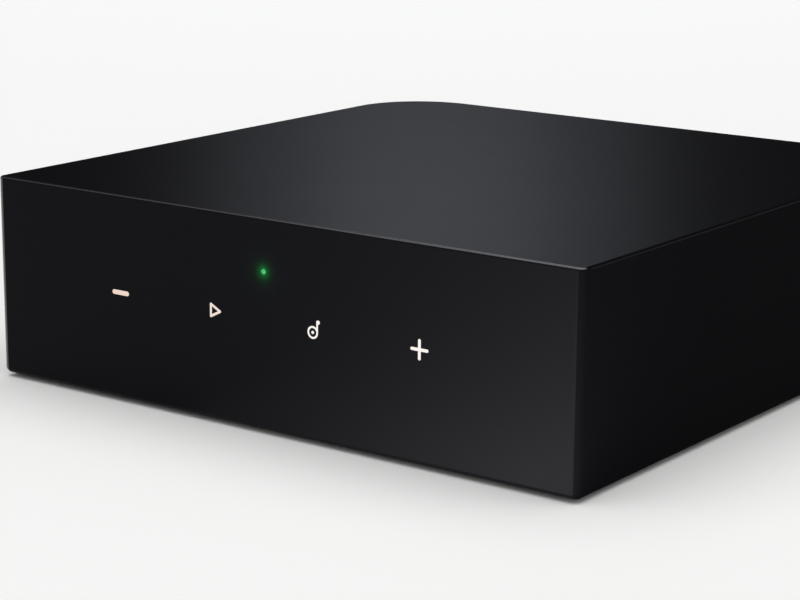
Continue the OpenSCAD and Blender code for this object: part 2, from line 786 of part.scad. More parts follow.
module rear_panel() {
  panel_w = notch_w + 2 * rear_panel_lap;
  panel_h = z_roof_in - fit_gap - z_base_top;
  y_cut = y_panel_out + eps;
  cut_d = rear_panel_t + 2 * eps;
  color("#1d1d1f") difference() {
    intersection() {
      translate([0, 0, z_base_top]) linear_extrude(panel_h) plan(slot_inset, y_front);
      port_box(0, y_rear, z_skirt, panel_w, y_rear - y_panel_in, shell_h);
    }
    for (p = rca_spots) port_bar(p[0], y_cut, p[1], rca_r + cutout_gap, cut_d);
    for (x = [x_optical_in, x_optical_out])
      port_box(x, y_cut, z_board_top - cutout_gap, optical_w + 2 * cutout_gap, cut_d,
        optical_h + 2 * cutout_gap);
    port_box(x_lan, y_cut, z_board_top - cutout_gap, lan_w + 2 * cutout_gap, cut_d,
      lan_h + 2 * cutout_gap);
    translate([x_usb, y_cut, z_board_top + usb_h / 2]) rotate([90, 0, 0]) linear_extrude(cut_d)
      stadium(usb_w + 2 * cutout_gap, usb_h + 2 * cutout_gap);
    port_bar(x_trigger, y_cut, z_trigger, trigger_hole_r, cut_d);
    port_bar(x_reset, y_cut, z_reset, reset_hole_r, cut_d);
  }
}

module touch_adhesive() {
  color("#3a3a3c") difference() {
    translate([-touch_board_w / 2, y_fascia_back, touch_board_z])
      cube([touch_board_w, glue_t, touch_board_h]);
    for (x = touch_xs) port_bar(x, y_touch_board + eps, touch_z, touch_pad_r + hole_gap, glue_t + 2 * eps);
    port_bar(0, y_touch_board + eps, light_z, light_foot_r + hole_gap, glue_t + 2 * eps);
  }
}

module touch_board() {
  color("#1f4a2c") translate([-touch_board_w / 2, y_touch_board, touch_board_z])
    cube([touch_board_w, touch_board_t, touch_board_h]);
}

module touch_pads() {
  color("#b87444") for (x = touch_xs) port_bar(x, y_touch_board, touch_z, touch_pad_r, touch_pad_t);
}

module touch_chip() {
  color("#151516") translate([touch_pitch - power_chip_w / 2, y_touch_back, touch_z - power_chip_w / 2])
    cube([power_chip_w, chip_t, power_chip_w]);
}

module status_led() {
  color("#5fd08a") port_box(0, y_touch_board, light_z - led_w / 2, led_w, led_t, led_w);
}

module light_pipe() {
  color("#9fe0b8") {
    port_bar(0, y_fascia_back - led_t, light_z, light_foot_r, light_foot_t);
    port_bar(0, y_fascia_back - led_t, light_z, light_pipe_r, fascia_t - led_t);
  }
}

module touch_socket() {
  color("#e6e1d6") translate([-ribbon_socket_w / 2, y_touch_back, touch_socket_z])
    cube([ribbon_socket_w, ribbon_socket_t, ribbon_socket_l]);
}

module touch_ribbon() {
  z_bend = z_ribbon + ribbon_bend_r;
  y_bend = y_ribbon + ribbon_bend_r;
  color("#e9e9e4") along_x(0, ribbon_w) {
    translate([y_ribbon - ribbon_t / 2, z_bend]) square([ribbon_t, touch_socket_z - z_bend]);
    translate([y_bend, z_bend]) intersection() {
      difference() {
        circle(r = ribbon_bend_r + ribbon_t / 2);
        circle(r = ribbon_bend_r - ribbon_t / 2);
      }
      translate([-2 * ribbon_bend_r, -2 * ribbon_bend_r]) square(2 * ribbon_bend_r);
    }
    translate([y_bend, z_ribbon - ribbon_t / 2]) square([y_board_socket - y_bend, ribbon_t]);
  }
}

module board_socket() {
  color("#e6e1d6") translate([-ribbon_socket_w / 2, y_board_socket, z_board_top])
    cube([ribbon_socket_w, ribbon_socket_l, ribbon_socket_t]);
}

module main_board() {
  color("#1d3f2a") difference() {
    translate([0, 0, z_board]) linear_extrude(board_t) plan(board_inset, y_board_front);
    for (p = boss_spots)
      translate([p[0], p[1], z_board - eps])
        cylinder(r = max(boss_r, post_r) + board_gap, h = board_t + 2 * eps);
    for (p = standoff_spots)
      translate([p[0], p[1], z_board - eps])
        cylinder(r = board_screw_r + hole_gap, h = board_t + 2 * eps);
  }
}

module board_screws() {
  shank_l = z_board_top - z_recess - standoff_floor - screw_tip_gap;
  color("#9a9ca0") for (p = standoff_spots) translate([p[0], p[1], z_board_top]) {
    cylinder(r = board_head_r, h = board_head_h);
    translate([0, 0, -shank_l]) cylinder(r = board_screw_r, h = shank_l);
  }
}

module wireless_module() {
  color("#16324c") translate([-module_w / 2, module_y - module_d / 2, z_board_top])
    cube([module_w, module_d, module_t]);
}

module module_can() {
  color("#b9bcc0") difference() {
    translate([-can_w / 2, can_y - can_d / 2, z_module_top]) cube([can_w, can_d, can_h]);
    translate([can_sheet_t - can_w / 2, can_y - can_d / 2 + can_sheet_t, z_module_top - eps])
      cube([can_w - 2 * can_sheet_t, can_d - 2 * can_sheet_t, can_h - can_sheet_t + eps]);
  }
}

module thermal_pad() {
  pad_l = can_d - 2 * thermal_pad_inset;
  color("#7f8a96") translate([thermal_pad_inset - can_w / 2, can_y - pad_l / 2, z_can_top])
    cube([can_w - 2 * thermal_pad_inset, pad_l, thermal_pad_t]);
}

module heat_sink() {
  fin_step = (sink_w - sink_fin_t) / (sink_fins - 1);
  color("#a7abb0") translate([-sink_w / 2, can_y - sink_d / 2, z_sink]) {
    cube([sink_w, sink_d, sink_base_t]);
    for (i = [0:sink_fins - 1])
      translate([i * fin_step, 0, sink_base_t]) cube([sink_fin_t, sink_d, sink_fin_h]);
  }
}

module antenna_left() {
  color("#2a2a2c") translate([-x_wall_in, antenna_y - antenna_l / 2, antenna_z])
    cube([antenna_t, antenna_l, antenna_h]);
}

module antenna_right() {
  color("#2a2a2c") mirror([1, 0, 0]) antenna_left();
}

module antenna_plugs() {
  color("#c9a24b") for (x = [-plug_x, plug_x])
    translate([x, lead_y, z_module_top]) cylinder(r = antenna_plug_r, h = antenna_plug_h);
}

// A cubic curve's point and direction
function curve(p, t) = pow(1 - t, 3) * p[0] + 3 * t * pow(1 - t, 2) * p[1]
  + 3 * t * t * (1 - t) * p[2] + pow(t, 3) * p[3];
function heading(p, t) = pow(1 - t, 2) * (p[1] - p[0]) + 2 * t * (1 - t) * (p[2] - p[1])
  + t * t * (p[3] - p[2]);

// One lead from the left antenna, leaving its face squarely and ending on a plug's top
module antenna_lead(x_end) {
  antenna_mid = antenna_z + antenna_h / 2;
  path = [
    [antenna_t - x_wall_in, antenna_mid],
    [antenna_t - x_wall_in + lead_reach, antenna_mid],
    [x_end, antenna_mid],
    [x_end, z_module_top + antenna_plug_h]
  ];
  points = [for (i = [0:lead_ring_n], k = [0:lead_side_n - 1])
    let (c = curve(path, i / lead_ring_n), h = heading(path, i / lead_ring_n), a = 360 * k / lead_side_n,
      n = [-h[1], h[0]] / norm(h))
    [c[0] + antenna_lead_r * cos(a) * n[0], lead_y + antenna_lead_r * sin(a),
      c[1] + antenna_lead_r * cos(a) * n[1]]];
  skin = [for (i = [0:lead_ring_n - 1], k = [0:lead_side_n - 1])
    let (a = i * lead_side_n, b = a + lead_side_n, next = (k + 1) % lead_side_n)
    [a + k, a + next, b + next, b + k]];
  first_end = [for (k = [0:lead_side_n - 1]) lead_side_n - 1 - k];
  last_end = [for (k = [0:lead_side_n - 1]) lead_ring_n * lead_side_n + k];
  polyhedron(points, concat(skin, [first_end], [last_end]));
}

module antenna_leads() {
  color("#3b3b3e") {
    antenna_lead(-plug_x);
    mirror([1, 0, 0]) antenna_lead(-plug_x);
  }
}

module dac_chip() {
  color("#151516") board_chip(dac_spot, dac_w);
}

module adc_chip() {
  color("#151516") board_chip(adc_spot, adc_w);
}

module power_chip() {
  color("#151516") board_chip(power_chip_spot, power_chip_w);
}

module power_coils() {
  color("#4b4d50") for (p = coil_spots) translate([p[0], p[1], z_board_top])
    linear_extrude(coil_h) round_rect(coil_w, coil_w, coil_corner_r);
}

module filter_capacitors() {
  cap_foot = 2 * (cap_r + cap_foot_lip);
  color("#5a5d63") for (p = cap_spots) translate([p[0], p[1], z_board_top]) {
    translate([-cap_foot / 2, -cap_foot / 2, 0]) cube([cap_foot, cap_foot, cap_foot_h]);
    cylinder(r = cap_r, h = cap_h);
  }
}

module clock_crystals() {
  color("#c4c6ca") for (p = crystal_spots) translate([p[0], p[1], z_board_top])
    linear_extrude(crystal_h) round_rect(crystal_w, crystal_l, crystal_corner_r);
}

module rca_block(x, h, spots) {
  difference() {
    port_box(x, y_panel_in, z_board_top, rca_w, rca_d, h);
    for (p = spots) {
      port_bar(p[0], y_panel_in + eps, p[1], rca_root_r + pin_gap, rca_root + eps);
      port_bar(p[0], y_panel_in, p[1], rca_contact_r + pin_gap, rca_root + contact_tail + seat_gap);
    }
  }
}

module line_in_block() {
  color("#18181a") rca_block(x_line_in, rca_pair_h, [white_spots[0], red_spots[0]]);
}

module line_out_block() {
  color("#18181a") rca_block(x_line_out, rca_pair_h, [white_spots[1], red_spots[1]]);
}

module coax_block() {
  color("#18181a") rca_block(x_coax, rca_block_h, coax_spots);
}

module rca_sleeves() {
  sleeve_l = y_rca_tip - y_rca_root;
  inner_r = rca_r - rca_sleeve_t;
  color("#d8d5cd") for (p = rca_spots) port_turning(p[0], y_rca_tip, p[1]) polygon([
    [inner_r, 0],
    [rca_r - rca_chamfer, 0],
    [rca_r, rca_chamfer],
    [rca_r, rca_reach],
    [rca_root_r, rca_reach],
    [rca_root_r, sleeve_l],
    [inner_r, sleeve_l]
  ]);
}

module rca_insert(p) {
  insert_l = y_insert_tip - y_rca_root;
  outer_r = rca_r - rca_sleeve_t - pin_gap;
  port_turning(p[0], y_insert_tip, p[1]) polygon([
    [rca_hole_r + rca_lead_in, 0],
    [outer_r, 0],
    [outer_r, insert_l],
    [rca_contact_r + pin_gap, insert_l],
    [rca_contact_r + pin_gap, rca_hole_depth],
    [rca_hole_r, rca_hole_depth],
    [rca_hole_r, rca_lead_in]
  ]);
}

module rca_inserts_white() {
  color("#eceae4") for (p = white_spots) rca_insert(p);
}

module rca_inserts_red() {
  color("#b3202a") for (p = red_spots) rca_insert(p);
}

module rca_insert_coax() {
  color("#d9761f") for (p = coax_spots) rca_insert(p);
}

module rca_contacts() {
  color("#cfa850") for (p = rca_spots)
    port_bar(p[0], y_hole_end, p[1], rca_contact_r, y_hole_end - y_rca_root + contact_tail);
}

module optical_socket(x) {
  difference() {
    port_box(x, y_panel_out, z_board_top, optical_w, optical_d, optical_h);
    port_box(x, y_panel_out + eps, mouth_z - mouth_h / 2, mouth_w, bezel_t + 2 * eps, mouth_h);
    port_box(x, y_panel_out - bezel_t, cavity_low, cavity_w, optical_cavity_d, cavity_high - cavity_low);
    translate([x, y_panel_out - hinge_s, hinge_z]) rotate([0, 90, 0])
      cylinder(r = shutter_pin_r + pin_gap, h = cavity_w + 2 * (shutter_pin_l + seat_gap), center = true);
    port_bar(x, y_panel_out - bezel_t - optical_cavity_d + eps, mouth_z, lens_r + pin_gap, lens_l + eps);
  }
}

module optical_shutter(x) {
  plate_h = hinge_z - mouth_z + shutter_h / 2;
  port_box(x, y_panel_out - shutter_front, mouth_z - shutter_h / 2, shutter_w, shutter_t, plate_h);
  translate([x, y_panel_out - hinge_s, hinge_z]) rotate([0, 90, 0]) {
    cylinder(r = knuckle_r, h = shutter_w, center = true);
    cylinder(r = shutter_pin_r, h = cavity_w + 2 * shutter_pin_l, center = true);
  }
}

module optical_in_socket() {
  color("#17171a") optical_socket(x_optical_in);
}

module optical_in_shutter() {
  color("#2b2b2e") optical_shutter(x_optical_in);
}

module optical_out_socket() {
  color("#17171a") optical_socket(x_optical_out);
}

module optical_out_shutter() {
  color("#2b2b2e") optical_shutter(x_optical_out);
}

module optical_lenses() {
  color("#b8433a") for (x = [x_optical_in, x_optical_out])
    port_bar(x, y_panel_out - bezel_t - optical_cavity_d, mouth_z, lens_r, lens_l);
}

module lan_shield() {
  color("#c3c5c8") difference() {
    port_box(x_lan, y_lan, z_board_top, lan_w, lan_d, lan_h);
    port_box(x_lan, y_lan + eps, z_board_top - eps, lan_core_w, lan_d - lan_shield_t + eps,
      lan_core_h + eps);
  }
}

module lan_core() {
  y_core = y_lan - lan_front_step;
  color("#131315") difference() {
    port_box(x_lan, y_core, z_board_top, lan_core_w, lan_d - lan_shield_t - lan_front_step, lan_core_h);
    port_box(x_lan, y_core + eps, z_board_top + lan_floor, lan_mouth_w, lan_mouth_d, lan_mouth_h);
    port_box(x_lan, y_core + eps, z_board_top + lan_floor - lan_latch_h, lan_latch_w,
      lan_latch_l, lan_latch_h + eps);
    for (s = [-1, 1])
      port_box(x_lan + s * lan_lamp_x, y_core + eps, lan_lamp_z, lan_lamp_w, lan_lamp_d + eps, lan_lamp_h);
  }
}

module lan_contacts() {
  y_in = y_lan - lan_front_step - lan_contact_setback;
  z_strip = z_lan_roof - lan_contact_t;
  z_tip = z_lan_roof - lan_contact_drop;
  color("#d0a94f") for (i = [0:lan_contact_n - 1])
    along_x(x_lan + (i - (lan_contact_n - 1) / 2) * lan_contact_pitch, lan_contact_t) polygon([
      [y_in, z_lan_roof],
      [y_in, z_strip],
      [y_in - lan_contact_run, z_tip],
      [y_in - lan_contact_run - lan_contact_cut, z_tip + lan_contact_t],
      [y_in - lan_contact_bend, z_strip],
      [y_in - lan_contact_l, z_strip],
      [y_in - lan_contact_l, z_lan_roof]
    ]);
}

module lan_lamps() {
  color("#d9c23a") for (s = [-1, 1])
    port_box(x_lan + s * lan_lamp_x, y_lan - lan_front_step, lan_lamp_z, lan_lamp_w, lan_lamp_d, lan_lamp_h);
}

module usb_section(y, l, shrink) {
  translate([x_usb, y, z_board_top + usb_h / 2]) rotate([90, 0, 0]) linear_extrude(l)
    stadium(usb_w - 2 * shrink, usb_h - 2 * shrink);
}

module usb_shell() {
  color("#c9cbce") difference() {
    usb_section(y_panel_out, usb_d, 0);
    usb_section(y_panel_out + eps, usb_d + 2 * eps, usb_sheet_t);
  }
}

module usb_tongue() {
  y_back = y_panel_out - usb_d + usb_back_d;
  color("#141416") {
    usb_section(y_back, usb_back_d, usb_sheet_t + pin_gap);
    port_box(x_usb, y_back + usb_tongue_l, z_board_top + usb_h / 2 - usb_tongue_t / 2, usb_tongue_w,
      usb_tongue_l, usb_tongue_t);
  }
}

module trigger_jack() {
  color("#18181a") difference() {
    port_box(x_trigger, y_panel_in, z_board_top, trigger_w, trigger_d, trigger_h);
    port_bar(x_trigger, y_panel_in + eps, z_trigger, trigger_r, trigger_bore_d + eps);
  }
}

module trigger_ring() {
  color("#c9cbce") difference() {
    port_bar(x_trigger, y_panel_in + trigger_ring_t, z_trigger, trigger_ring_r + trigger_ring_wall,
      trigger_ring_t);
    port_bar(x_trigger, y_panel_in + trigger_ring_t + eps, z_trigger, trigger_ring_r,
      trigger_ring_t + 2 * eps);
  }
}

module reset_switch() {
  color("#1a1a1c") difference() {
    port_box(x_reset, y_reset_switch, z_board_top, reset_w, reset_d, reset_h);
    port_bar(x_reset, y_reset_switch + eps, z_reset, reset_stem_r + pin_gap,
      reset_stem_grip + reset_travel + hole_gap);
  }
}

module reset_button() {
  y_flange = y_panel_in - seat_gap;
  color("#39393c") {
    port_bar(x_reset, y_panel_out - reset_sink, z_reset, reset_r, rear_panel_t + seat_gap - reset_sink + eps);
    port_bar(x_reset, y_flange, z_reset, reset_flange_r, reset_flange_t);
    port_bar(x_reset, y_flange - reset_flange_t + eps, z_reset, reset_stem_r,
      y_flange - reset_flange_t - y_reset_switch + reset_stem_grip + eps);
  }
}

upper_shell();
front_panel();
base_tray();
foot_pad();
case_screws();
rear_panel();
touch_adhesive();
touch_board();
touch_pads();
touch_chip();
status_led();
light_pipe();
touch_socket();
touch_ribbon();
board_socket();
main_board();
board_screws();
wireless_module();
module_can();
thermal_pad();
heat_sink();
antenna_left();
antenna_right();
antenna_plugs();
antenna_leads();
dac_chip();
adc_chip();
power_chip();
power_coils();
filter_capacitors();
clock_crystals();
line_in_block();
line_out_block();
coax_block();
rca_sleeves();
rca_inserts_white();
rca_inserts_red();
rca_insert_coax();
rca_contacts();
optical_in_socket();
optical_in_shutter();
optical_out_socket();
optical_out_shutter();
optical_lenses();
lan_shield();
lan_core();
lan_contacts();
lan_lamps();
usb_shell();
usb_tongue();
trigger_jack();
trigger_ring();
reset_switch();
reset_button();
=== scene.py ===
"""A compact network music streamer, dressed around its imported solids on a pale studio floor.

Sizes are in millimetres up to the point where a mesh is made, and in metres from there on.
The front faces -Y, X runs to the right as seen from the front, and the foot pad stands on Z = 0.
"""

import logging
import math
from collections.abc import Callable, Sequence
from dataclasses import dataclass, field, replace
from enum import Enum

import bmesh
import bpy
from mathutils import Matrix, Vector


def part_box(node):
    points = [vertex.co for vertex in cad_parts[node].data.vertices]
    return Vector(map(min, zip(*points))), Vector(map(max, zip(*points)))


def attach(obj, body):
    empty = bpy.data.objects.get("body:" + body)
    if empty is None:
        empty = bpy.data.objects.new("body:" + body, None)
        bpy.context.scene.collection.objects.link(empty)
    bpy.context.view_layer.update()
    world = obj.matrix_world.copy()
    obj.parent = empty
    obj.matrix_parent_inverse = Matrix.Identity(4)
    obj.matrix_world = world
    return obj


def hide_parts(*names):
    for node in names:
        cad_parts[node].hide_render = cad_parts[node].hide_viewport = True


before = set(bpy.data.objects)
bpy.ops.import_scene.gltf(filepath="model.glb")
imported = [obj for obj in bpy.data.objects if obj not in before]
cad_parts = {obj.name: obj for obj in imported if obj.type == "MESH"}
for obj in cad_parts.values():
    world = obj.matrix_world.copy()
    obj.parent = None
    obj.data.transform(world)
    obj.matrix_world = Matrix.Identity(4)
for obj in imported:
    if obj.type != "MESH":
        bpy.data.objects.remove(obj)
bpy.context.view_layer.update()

MM = 0.001
LOG = logging.getLogger("streamer")

Point = tuple[float, float]
Point3 = tuple[float, float, float]

# The numbers of the colour mix node's sockets: its two colours, and its result.
MIX_FIRST, MIX_SECOND, MIX_RESULT = 6, 7, 2
# How finely the noise breaks up behind the roughness and behind the grain.
DRIFT_DETAIL = 2.0
GRAIN_DETAIL = 3.0
GRAIN_BREAK_UP = 0.6
# Where a board track's edge starts and ends, as a share of the tracks' spacing.
TRACK_EDGE = (0.04, 0.06)
# Where the status light ends in the front panel's face, in millimetres.
STATUS_SPOT: Point3 = (0.0, -70.0, 31.8)


def linear(hex_colour: str) -> tuple[float, float, float, float]:
    """Turn an sRGB hex colour into linear light.

    Args:
        hex_colour: a colour such as "#1a1a1c".

    Returns:
        Linear red, green and blue, and an alpha of one.
    """
    steps = [int(hex_colour[i:i + 2], 16) / 255 for i in (1, 3, 5)]
    red, green, blue = [s / 12.92 if s <= 0.04045 else ((s + 0.055) / 1.055) ** 2.4 for s in steps]
    return red, green, blue, 1.0


def add_node(tree: bpy.types.NodeTree, kind: str, inputs: dict[str | int, object] | None = None,
             **settings: object) -> bpy.types.Node:
    """Add a node, set its properties, and set its inputs or link them.

    Args:
        tree: the node tree that takes the node.
        kind: the node's type name.
        inputs: values or output sockets, by the name or number of the input they go to.
        **settings: properties of the node itself.

    Returns:
        The new node.
    """
    node = tree.nodes.new(kind)
    for name, value in settings.items():
        setattr(node, name, value)
    for key, value in (inputs or {}).items():
        if isinstance(value, bpy.types.NodeSocket):
            tree.links.new(value, node.inputs[key])
        else:
            node.inputs[key].default_value = value
    return node


class Mark(Enum):
    """What the marks in a surface look like."""

    GRAIN = "grain"
    CELLS = "cells"
    TRACKS = "tracks"


class Lay(Enum):
    """Which way the marks run: how closely they repeat along X, Y and Z."""

    EVEN = (1.0, 1.0, 1.0)
    ALONG_X = (0.03, 1.0, 1.0)
    ALONG_Y = (1.0, 0.03, 1.0)
    ALONG_Z = (1.0, 1.0, 0.03)
    AROUND_Y = (0.02, 1.0, 0.02)


@dataclass(frozen=True)
class Halo:
    """Light that spreads inside a panel from one spot and fades with distance.

    Attributes:
        colour: the light's colour.
        centre: the spot, in millimetres.
        reach: the distance at which a quarter of the light is left, in millimetres.
        strength: the light's strength at the spot.
    """

    colour: str
    centre: Point3
    reach: float
    strength: float


@dataclass(frozen=True)
class Finish:
    """A real material and the way its surface was made.

    Attributes:
        name: the material's name.
        colour: its colour where the marks are lowest.
        shade: its colour where the marks are highest.
        roughness: the middle of its roughness.
        grain: the marks' size, in millimetres.
        depth: the marks' height, in millimetres.
        mark: what the marks look like.
        lay: which way they run.
        spread: how far the roughness drifts either way.
        drift: the size of that drift, in millimetres.
        metallic: one for a metal, and zero for the rest.
        ior: its index of refraction.
        specular: its specular level.
        coat: the weight of a clear coat on it.
        coat_roughness: that coat's roughness.
        glow: the strength of the light that it gives off.
        glow_colour: that light's colour.
        halo: the light that spreads in it from one spot, if any.
    """

    name: str
    colour: str
    shade: str
    roughness: float
    grain: float
    depth: float
    mark: Mark = Mark.GRAIN
    lay: Lay = Lay.EVEN
    spread: float = 0.04
    drift: float = 18.0
    metallic: float = 0.0
    ior: float = 1.5
    specular: float = 0.5
    coat: float = 0.0
    coat_roughness: float = 0.1
    glow: float = 0.0
    glow_colour: str = "#ffffff"
    halo: Halo | None = None

    def material(self) -> bpy.types.Material:
        """Return this finish as a node material, made once."""
        return bpy.data.materials.get(self.name) or self._build()

    def _build(self) -> bpy.types.Material:
        """Build the node tree.

        Returns:
            The material: marks set its colour and bump, a broad drift sets its roughness.
        """
        material = bpy.data.materials.new(self.name)
        material.use_nodes = True
        tree = material.node_tree
        tree.nodes.clear()
        place = add_node(tree, "ShaderNodeTexCoord").outputs["Object"]
        marks = self._marks(tree, place)
        drift = add_node(tree, "ShaderNodeTexNoise", {
            "Vector": place, "Scale": 1 / (self.drift * MM), "Detail": DRIFT_DETAIL})
        colour = add_node(tree, "ShaderNodeMix", {
            "Factor": marks, MIX_FIRST: linear(self.colour), MIX_SECOND: linear(self.shade)},
            data_type="RGBA")
        roughness = add_node(tree, "ShaderNodeMapRange", {
            "Value": drift.outputs["Fac"], "To Min": self.roughness - self.spread,
            "To Max": self.roughness + self.spread})
        bump = add_node(tree, "ShaderNodeBump", {
            "Strength": 1.0, "Distance": self.depth * MM, "Height": marks})
        shader = add_node(tree, "ShaderNodeBsdfPrincipled", {
            "Base Color": colour.outputs[MIX_RESULT], "Roughness": roughness.outputs["Result"],
            "Normal": bump.outputs["Normal"], "Metallic": self.metallic, "IOR": self.ior,
            "Specular IOR Level": self.specular, "Coat Weight": self.coat,
            "Coat Roughness": self.coat_roughness, "Emission Color": linear(self.glow_colour),
            "Emission Strength": self.glow})
        if self.halo:
            self._light(tree, place, shader)
        add_node(tree, "ShaderNodeOutputMaterial", {"Surface": shader.outputs["BSDF"]})
        return material

    def _marks(self, tree: bpy.types.NodeTree, place: bpy.types.NodeSocket) -> bpy.types.NodeSocket:
        """Draw the marks at their real size.

        Args:
            tree: the material's node tree.
            place: the point on the object, in metres.

        Returns:
            A socket that runs from 0 to 1 over the marks.
        """
        scale = [pace / (self.grain * MM) for pace in self.lay.value]
        spot = add_node(tree, "ShaderNodeMapping", {
            "Vector": place, "Scale": scale}).outputs["Vector"]
        if self.mark is Mark.GRAIN:
            return add_node(tree, "ShaderNodeTexNoise", {
                "Vector": spot, "Scale": 1.0, "Detail": GRAIN_DETAIL,
                "Roughness": GRAIN_BREAK_UP}).outputs["Fac"]
        if self.mark is Mark.CELLS:
            return add_node(tree, "ShaderNodeTexVoronoi", {
                "Vector": spot, "Scale": 1.0}).outputs["Distance"]
        edge = add_node(tree, "ShaderNodeTexVoronoi", {"Vector": spot, "Scale": 1.0},
                        feature="DISTANCE_TO_EDGE")
        start, end = TRACK_EDGE
        return add_node(tree, "ShaderNodeMapRange", {
            "Value": edge.outputs["Distance"], "From Min": start, "From Max": end,
            "To Min": 1.0, "To Max": 0.0}).outputs["Result"]

    def _light(self, tree: bpy.types.NodeTree, place: bpy.types.NodeSocket,
               shader: bpy.types.Node) -> None:
        """Add the halo's light to the shader: strength / (1 + (distance / reach) ** 2) ** 2.

        Args:
            tree: the material's node tree.
            place: the point on the object, in metres.
            shader: the shader that takes the light.
        """
        light = add_node(tree, "ShaderNodeVectorMath", {
            0: place, 1: [v * MM for v in self.halo.centre]}, operation="DISTANCE").outputs["Value"]
        steps = (("DIVIDE", self.halo.reach * MM), ("POWER", 2.0), ("ADD", 1.0), ("POWER", -2.0),
                 ("MULTIPLY", self.halo.strength))
        for operation, value in steps:
            light = add_node(tree, "ShaderNodeMath", {0: light, 1: value},
                             operation=operation).outputs["Value"]
        shader.inputs["Emission Color"].default_value = linear(self.halo.colour)
        tree.links.new(light, shader.inputs["Emission Strength"])


# Black ABS from a spark-eroded mould: an even matt at arm's length, with a soft sheen only near
# grazing. Its real 0.1 mm pits are drawn at 0.35 mm, so that they still show in a close view.
SPARKED_ABS = Finish("black_abs_spark_eroded", "#09090b", "#0c0c0e", 0.30, grain=0.35, depth=0.002,
                     spread=0.02, specular=0.025)
# The walls draw from the mould with a deeper texture: the same black, quite dull and almost
# without a sheen. Its real 0.2 mm pits are drawn at 0.5 mm, so that they show in a close view.
COARSE_ABS = Finish("black_abs_deep_textured", "#0a0a0c", "#0f0f11", 0.6, grain=0.5, depth=0.006,
                    spread=0.03, specular=0.004)
# Handling wears the texture off the shell's upper edge: the same black with a thin, soft shine.
WORN_ABS = Finish("black_abs_worn_edge", "#0a0a0c", "#0e0e10", 0.3, grain=0.5, depth=0.001,
                  spread=0.03, specular=0.05)
# The same ABS with a plainer texture where it is out of sight: a little greyer and duller.
TRAY_ABS = Finish("black_abs_fine_matt", "#101011", "#161617", 0.55, grain=0.4, depth=0.004,
                  specular=0.08)
# Black polycarbonate under a satin hard coat: deep, smooth and even, with the status light
# glowing in it.
COATED_PC = Finish("black_polycarbonate_hard_coated", "#040408", "#07070b", 0.38, grain=0.5,
                   depth=0.0008, spread=0.02, specular=0.053,
                   halo=Halo("#00ff62", STATUS_SPOT, reach=1.1, strength=0.22))
# The panel's upper edge and its left edge take a lighter, glossier copy of the black: a painted
# highlight, partly real reflection of the lamps, that draws a thin bright line along them.
PAINTED_HIGHLIGHT_EDGE = Finish("black_polycarbonate_painted_highlight_edge", "#121216", "#18181c", 0.22, grain=0.5,
                     depth=0.0008, spread=0.02, specular=0.95)
# Moulded silicone rubber: dark grey, dull, and faintly cloudy where dust clings to it.
SILICONE = Finish("grey_silicone_moulded", "#1b1b1c", "#262627", 0.82, grain=0.6, depth=0.01,
                  specular=0.3)
# Zinc plate on steel: a pale blue-grey metal with short cloudy streaks.
ZINC_STEEL = Finish("zinc_plated_steel", "#a9adb0", "#bcc0c4", 0.34, grain=0.5, depth=0.002,
                    metallic=1.0)
# Closed-cell acrylic foam tape: dull charcoal with small round cells.
FOAM_TAPE = Finish("acrylic_foam_tape", "#1e1e20", "#2b2b2d", 0.9, grain=0.3, depth=0.02,
                   mark=Mark.CELLS)
# Green solder mask on glass-epoxy board: a satin film that rises over its copper tracks.
GREEN_BOARD = Finish("green_solder_mask", "#0f3d22", "#1c5a35", 0.35, grain=2.5, depth=0.03,
                     mark=Mark.TRACKS)
# Blue solder mask, as on bought-in radio boards.
BLUE_BOARD = Finish("blue_solder_mask", "#10254f", "#1d3a70", 0.35, grain=1.6, depth=0.02,
                    mark=Mark.TRACKS)
# Bare copper foil: warm, faintly streaked by rolling.
COPPER_FOIL = Finish("rolled_copper_foil", "#b0683f", "#c27d50", 0.3, grain=0.3, depth=0.001,
                     lay=Lay.ALONG_X, metallic=1.0)
# Moulded epoxy chip body: charcoal, slightly sandy.
EPOXY_CHIP = Finish("moulded_epoxy", "#18181a", "#232325", 0.6, grain=0.15, depth=0.004)
# Green lamp die under clear epoxy: it glows evenly.
LAMP_EPOXY = Finish("green_lamp_epoxy", "#7fd99a", "#a6e8ba", 0.2, grain=0.3, depth=0.001, glow=0.6,
                    glow_colour="#66d894")
# Frosted acrylic light pipe: its end shows the lamp as a flat green spot.
PIPE_ACRYLIC = Finish("frosted_acrylic_pipe", "#18392a", "#1e4633", 0.3, grain=0.25, depth=0.002,
                      ior=1.49, glow=0.62, glow_colour="#30d272")
# Translucent ink windows with white lamps behind them, which warm a little from the right to the
# left.
WHITE_INK = Finish("backlit_ink_window_white", "#2e2926", "#352f2c", 0.5, grain=0.4, depth=0.001,
                   specular=0.2, glow=0.88, glow_colour="#fff8f3")
CREAM_INK = replace(WHITE_INK, name="backlit_ink_window_cream", glow=0.82, glow_colour="#ffeee3")
PEACH_INK = replace(WHITE_INK, name="backlit_ink_window_peach", glow=0.83, glow_colour="#ffe4d3")
# Ivory nylon: a soft satin moulding.
IVORY_NYLON = Finish("ivory_nylon_moulded", "#d9d0b8", "#e4dcc6", 0.5, grain=0.3, depth=0.004)
# Polyester ribbon cable: white film with its flat conductors showing as fine stripes along it.
RIBBON_FILM = Finish("polyester_ribbon_film", "#c9c9c6", "#e2e2df", 0.35, grain=0.5, depth=0.01,
                     lay=Lay.ALONG_Y)
# Tinned sheet steel, pressed and folded: bright grey with fine rolling streaks.
TINNED_STEEL = Finish("tinned_sheet_steel", "#b4b6b6", "#c6c8c8", 0.28, grain=0.25, depth=0.0015,
                      lay=Lay.ALONG_X, metallic=1.0)
# Filled silicone heat pad: chalky grey-blue, soft and dull.
HEAT_PAD = Finish("filled_silicone_pad", "#7f8b98", "#8f9ba8", 0.85, grain=0.4, depth=0.01)
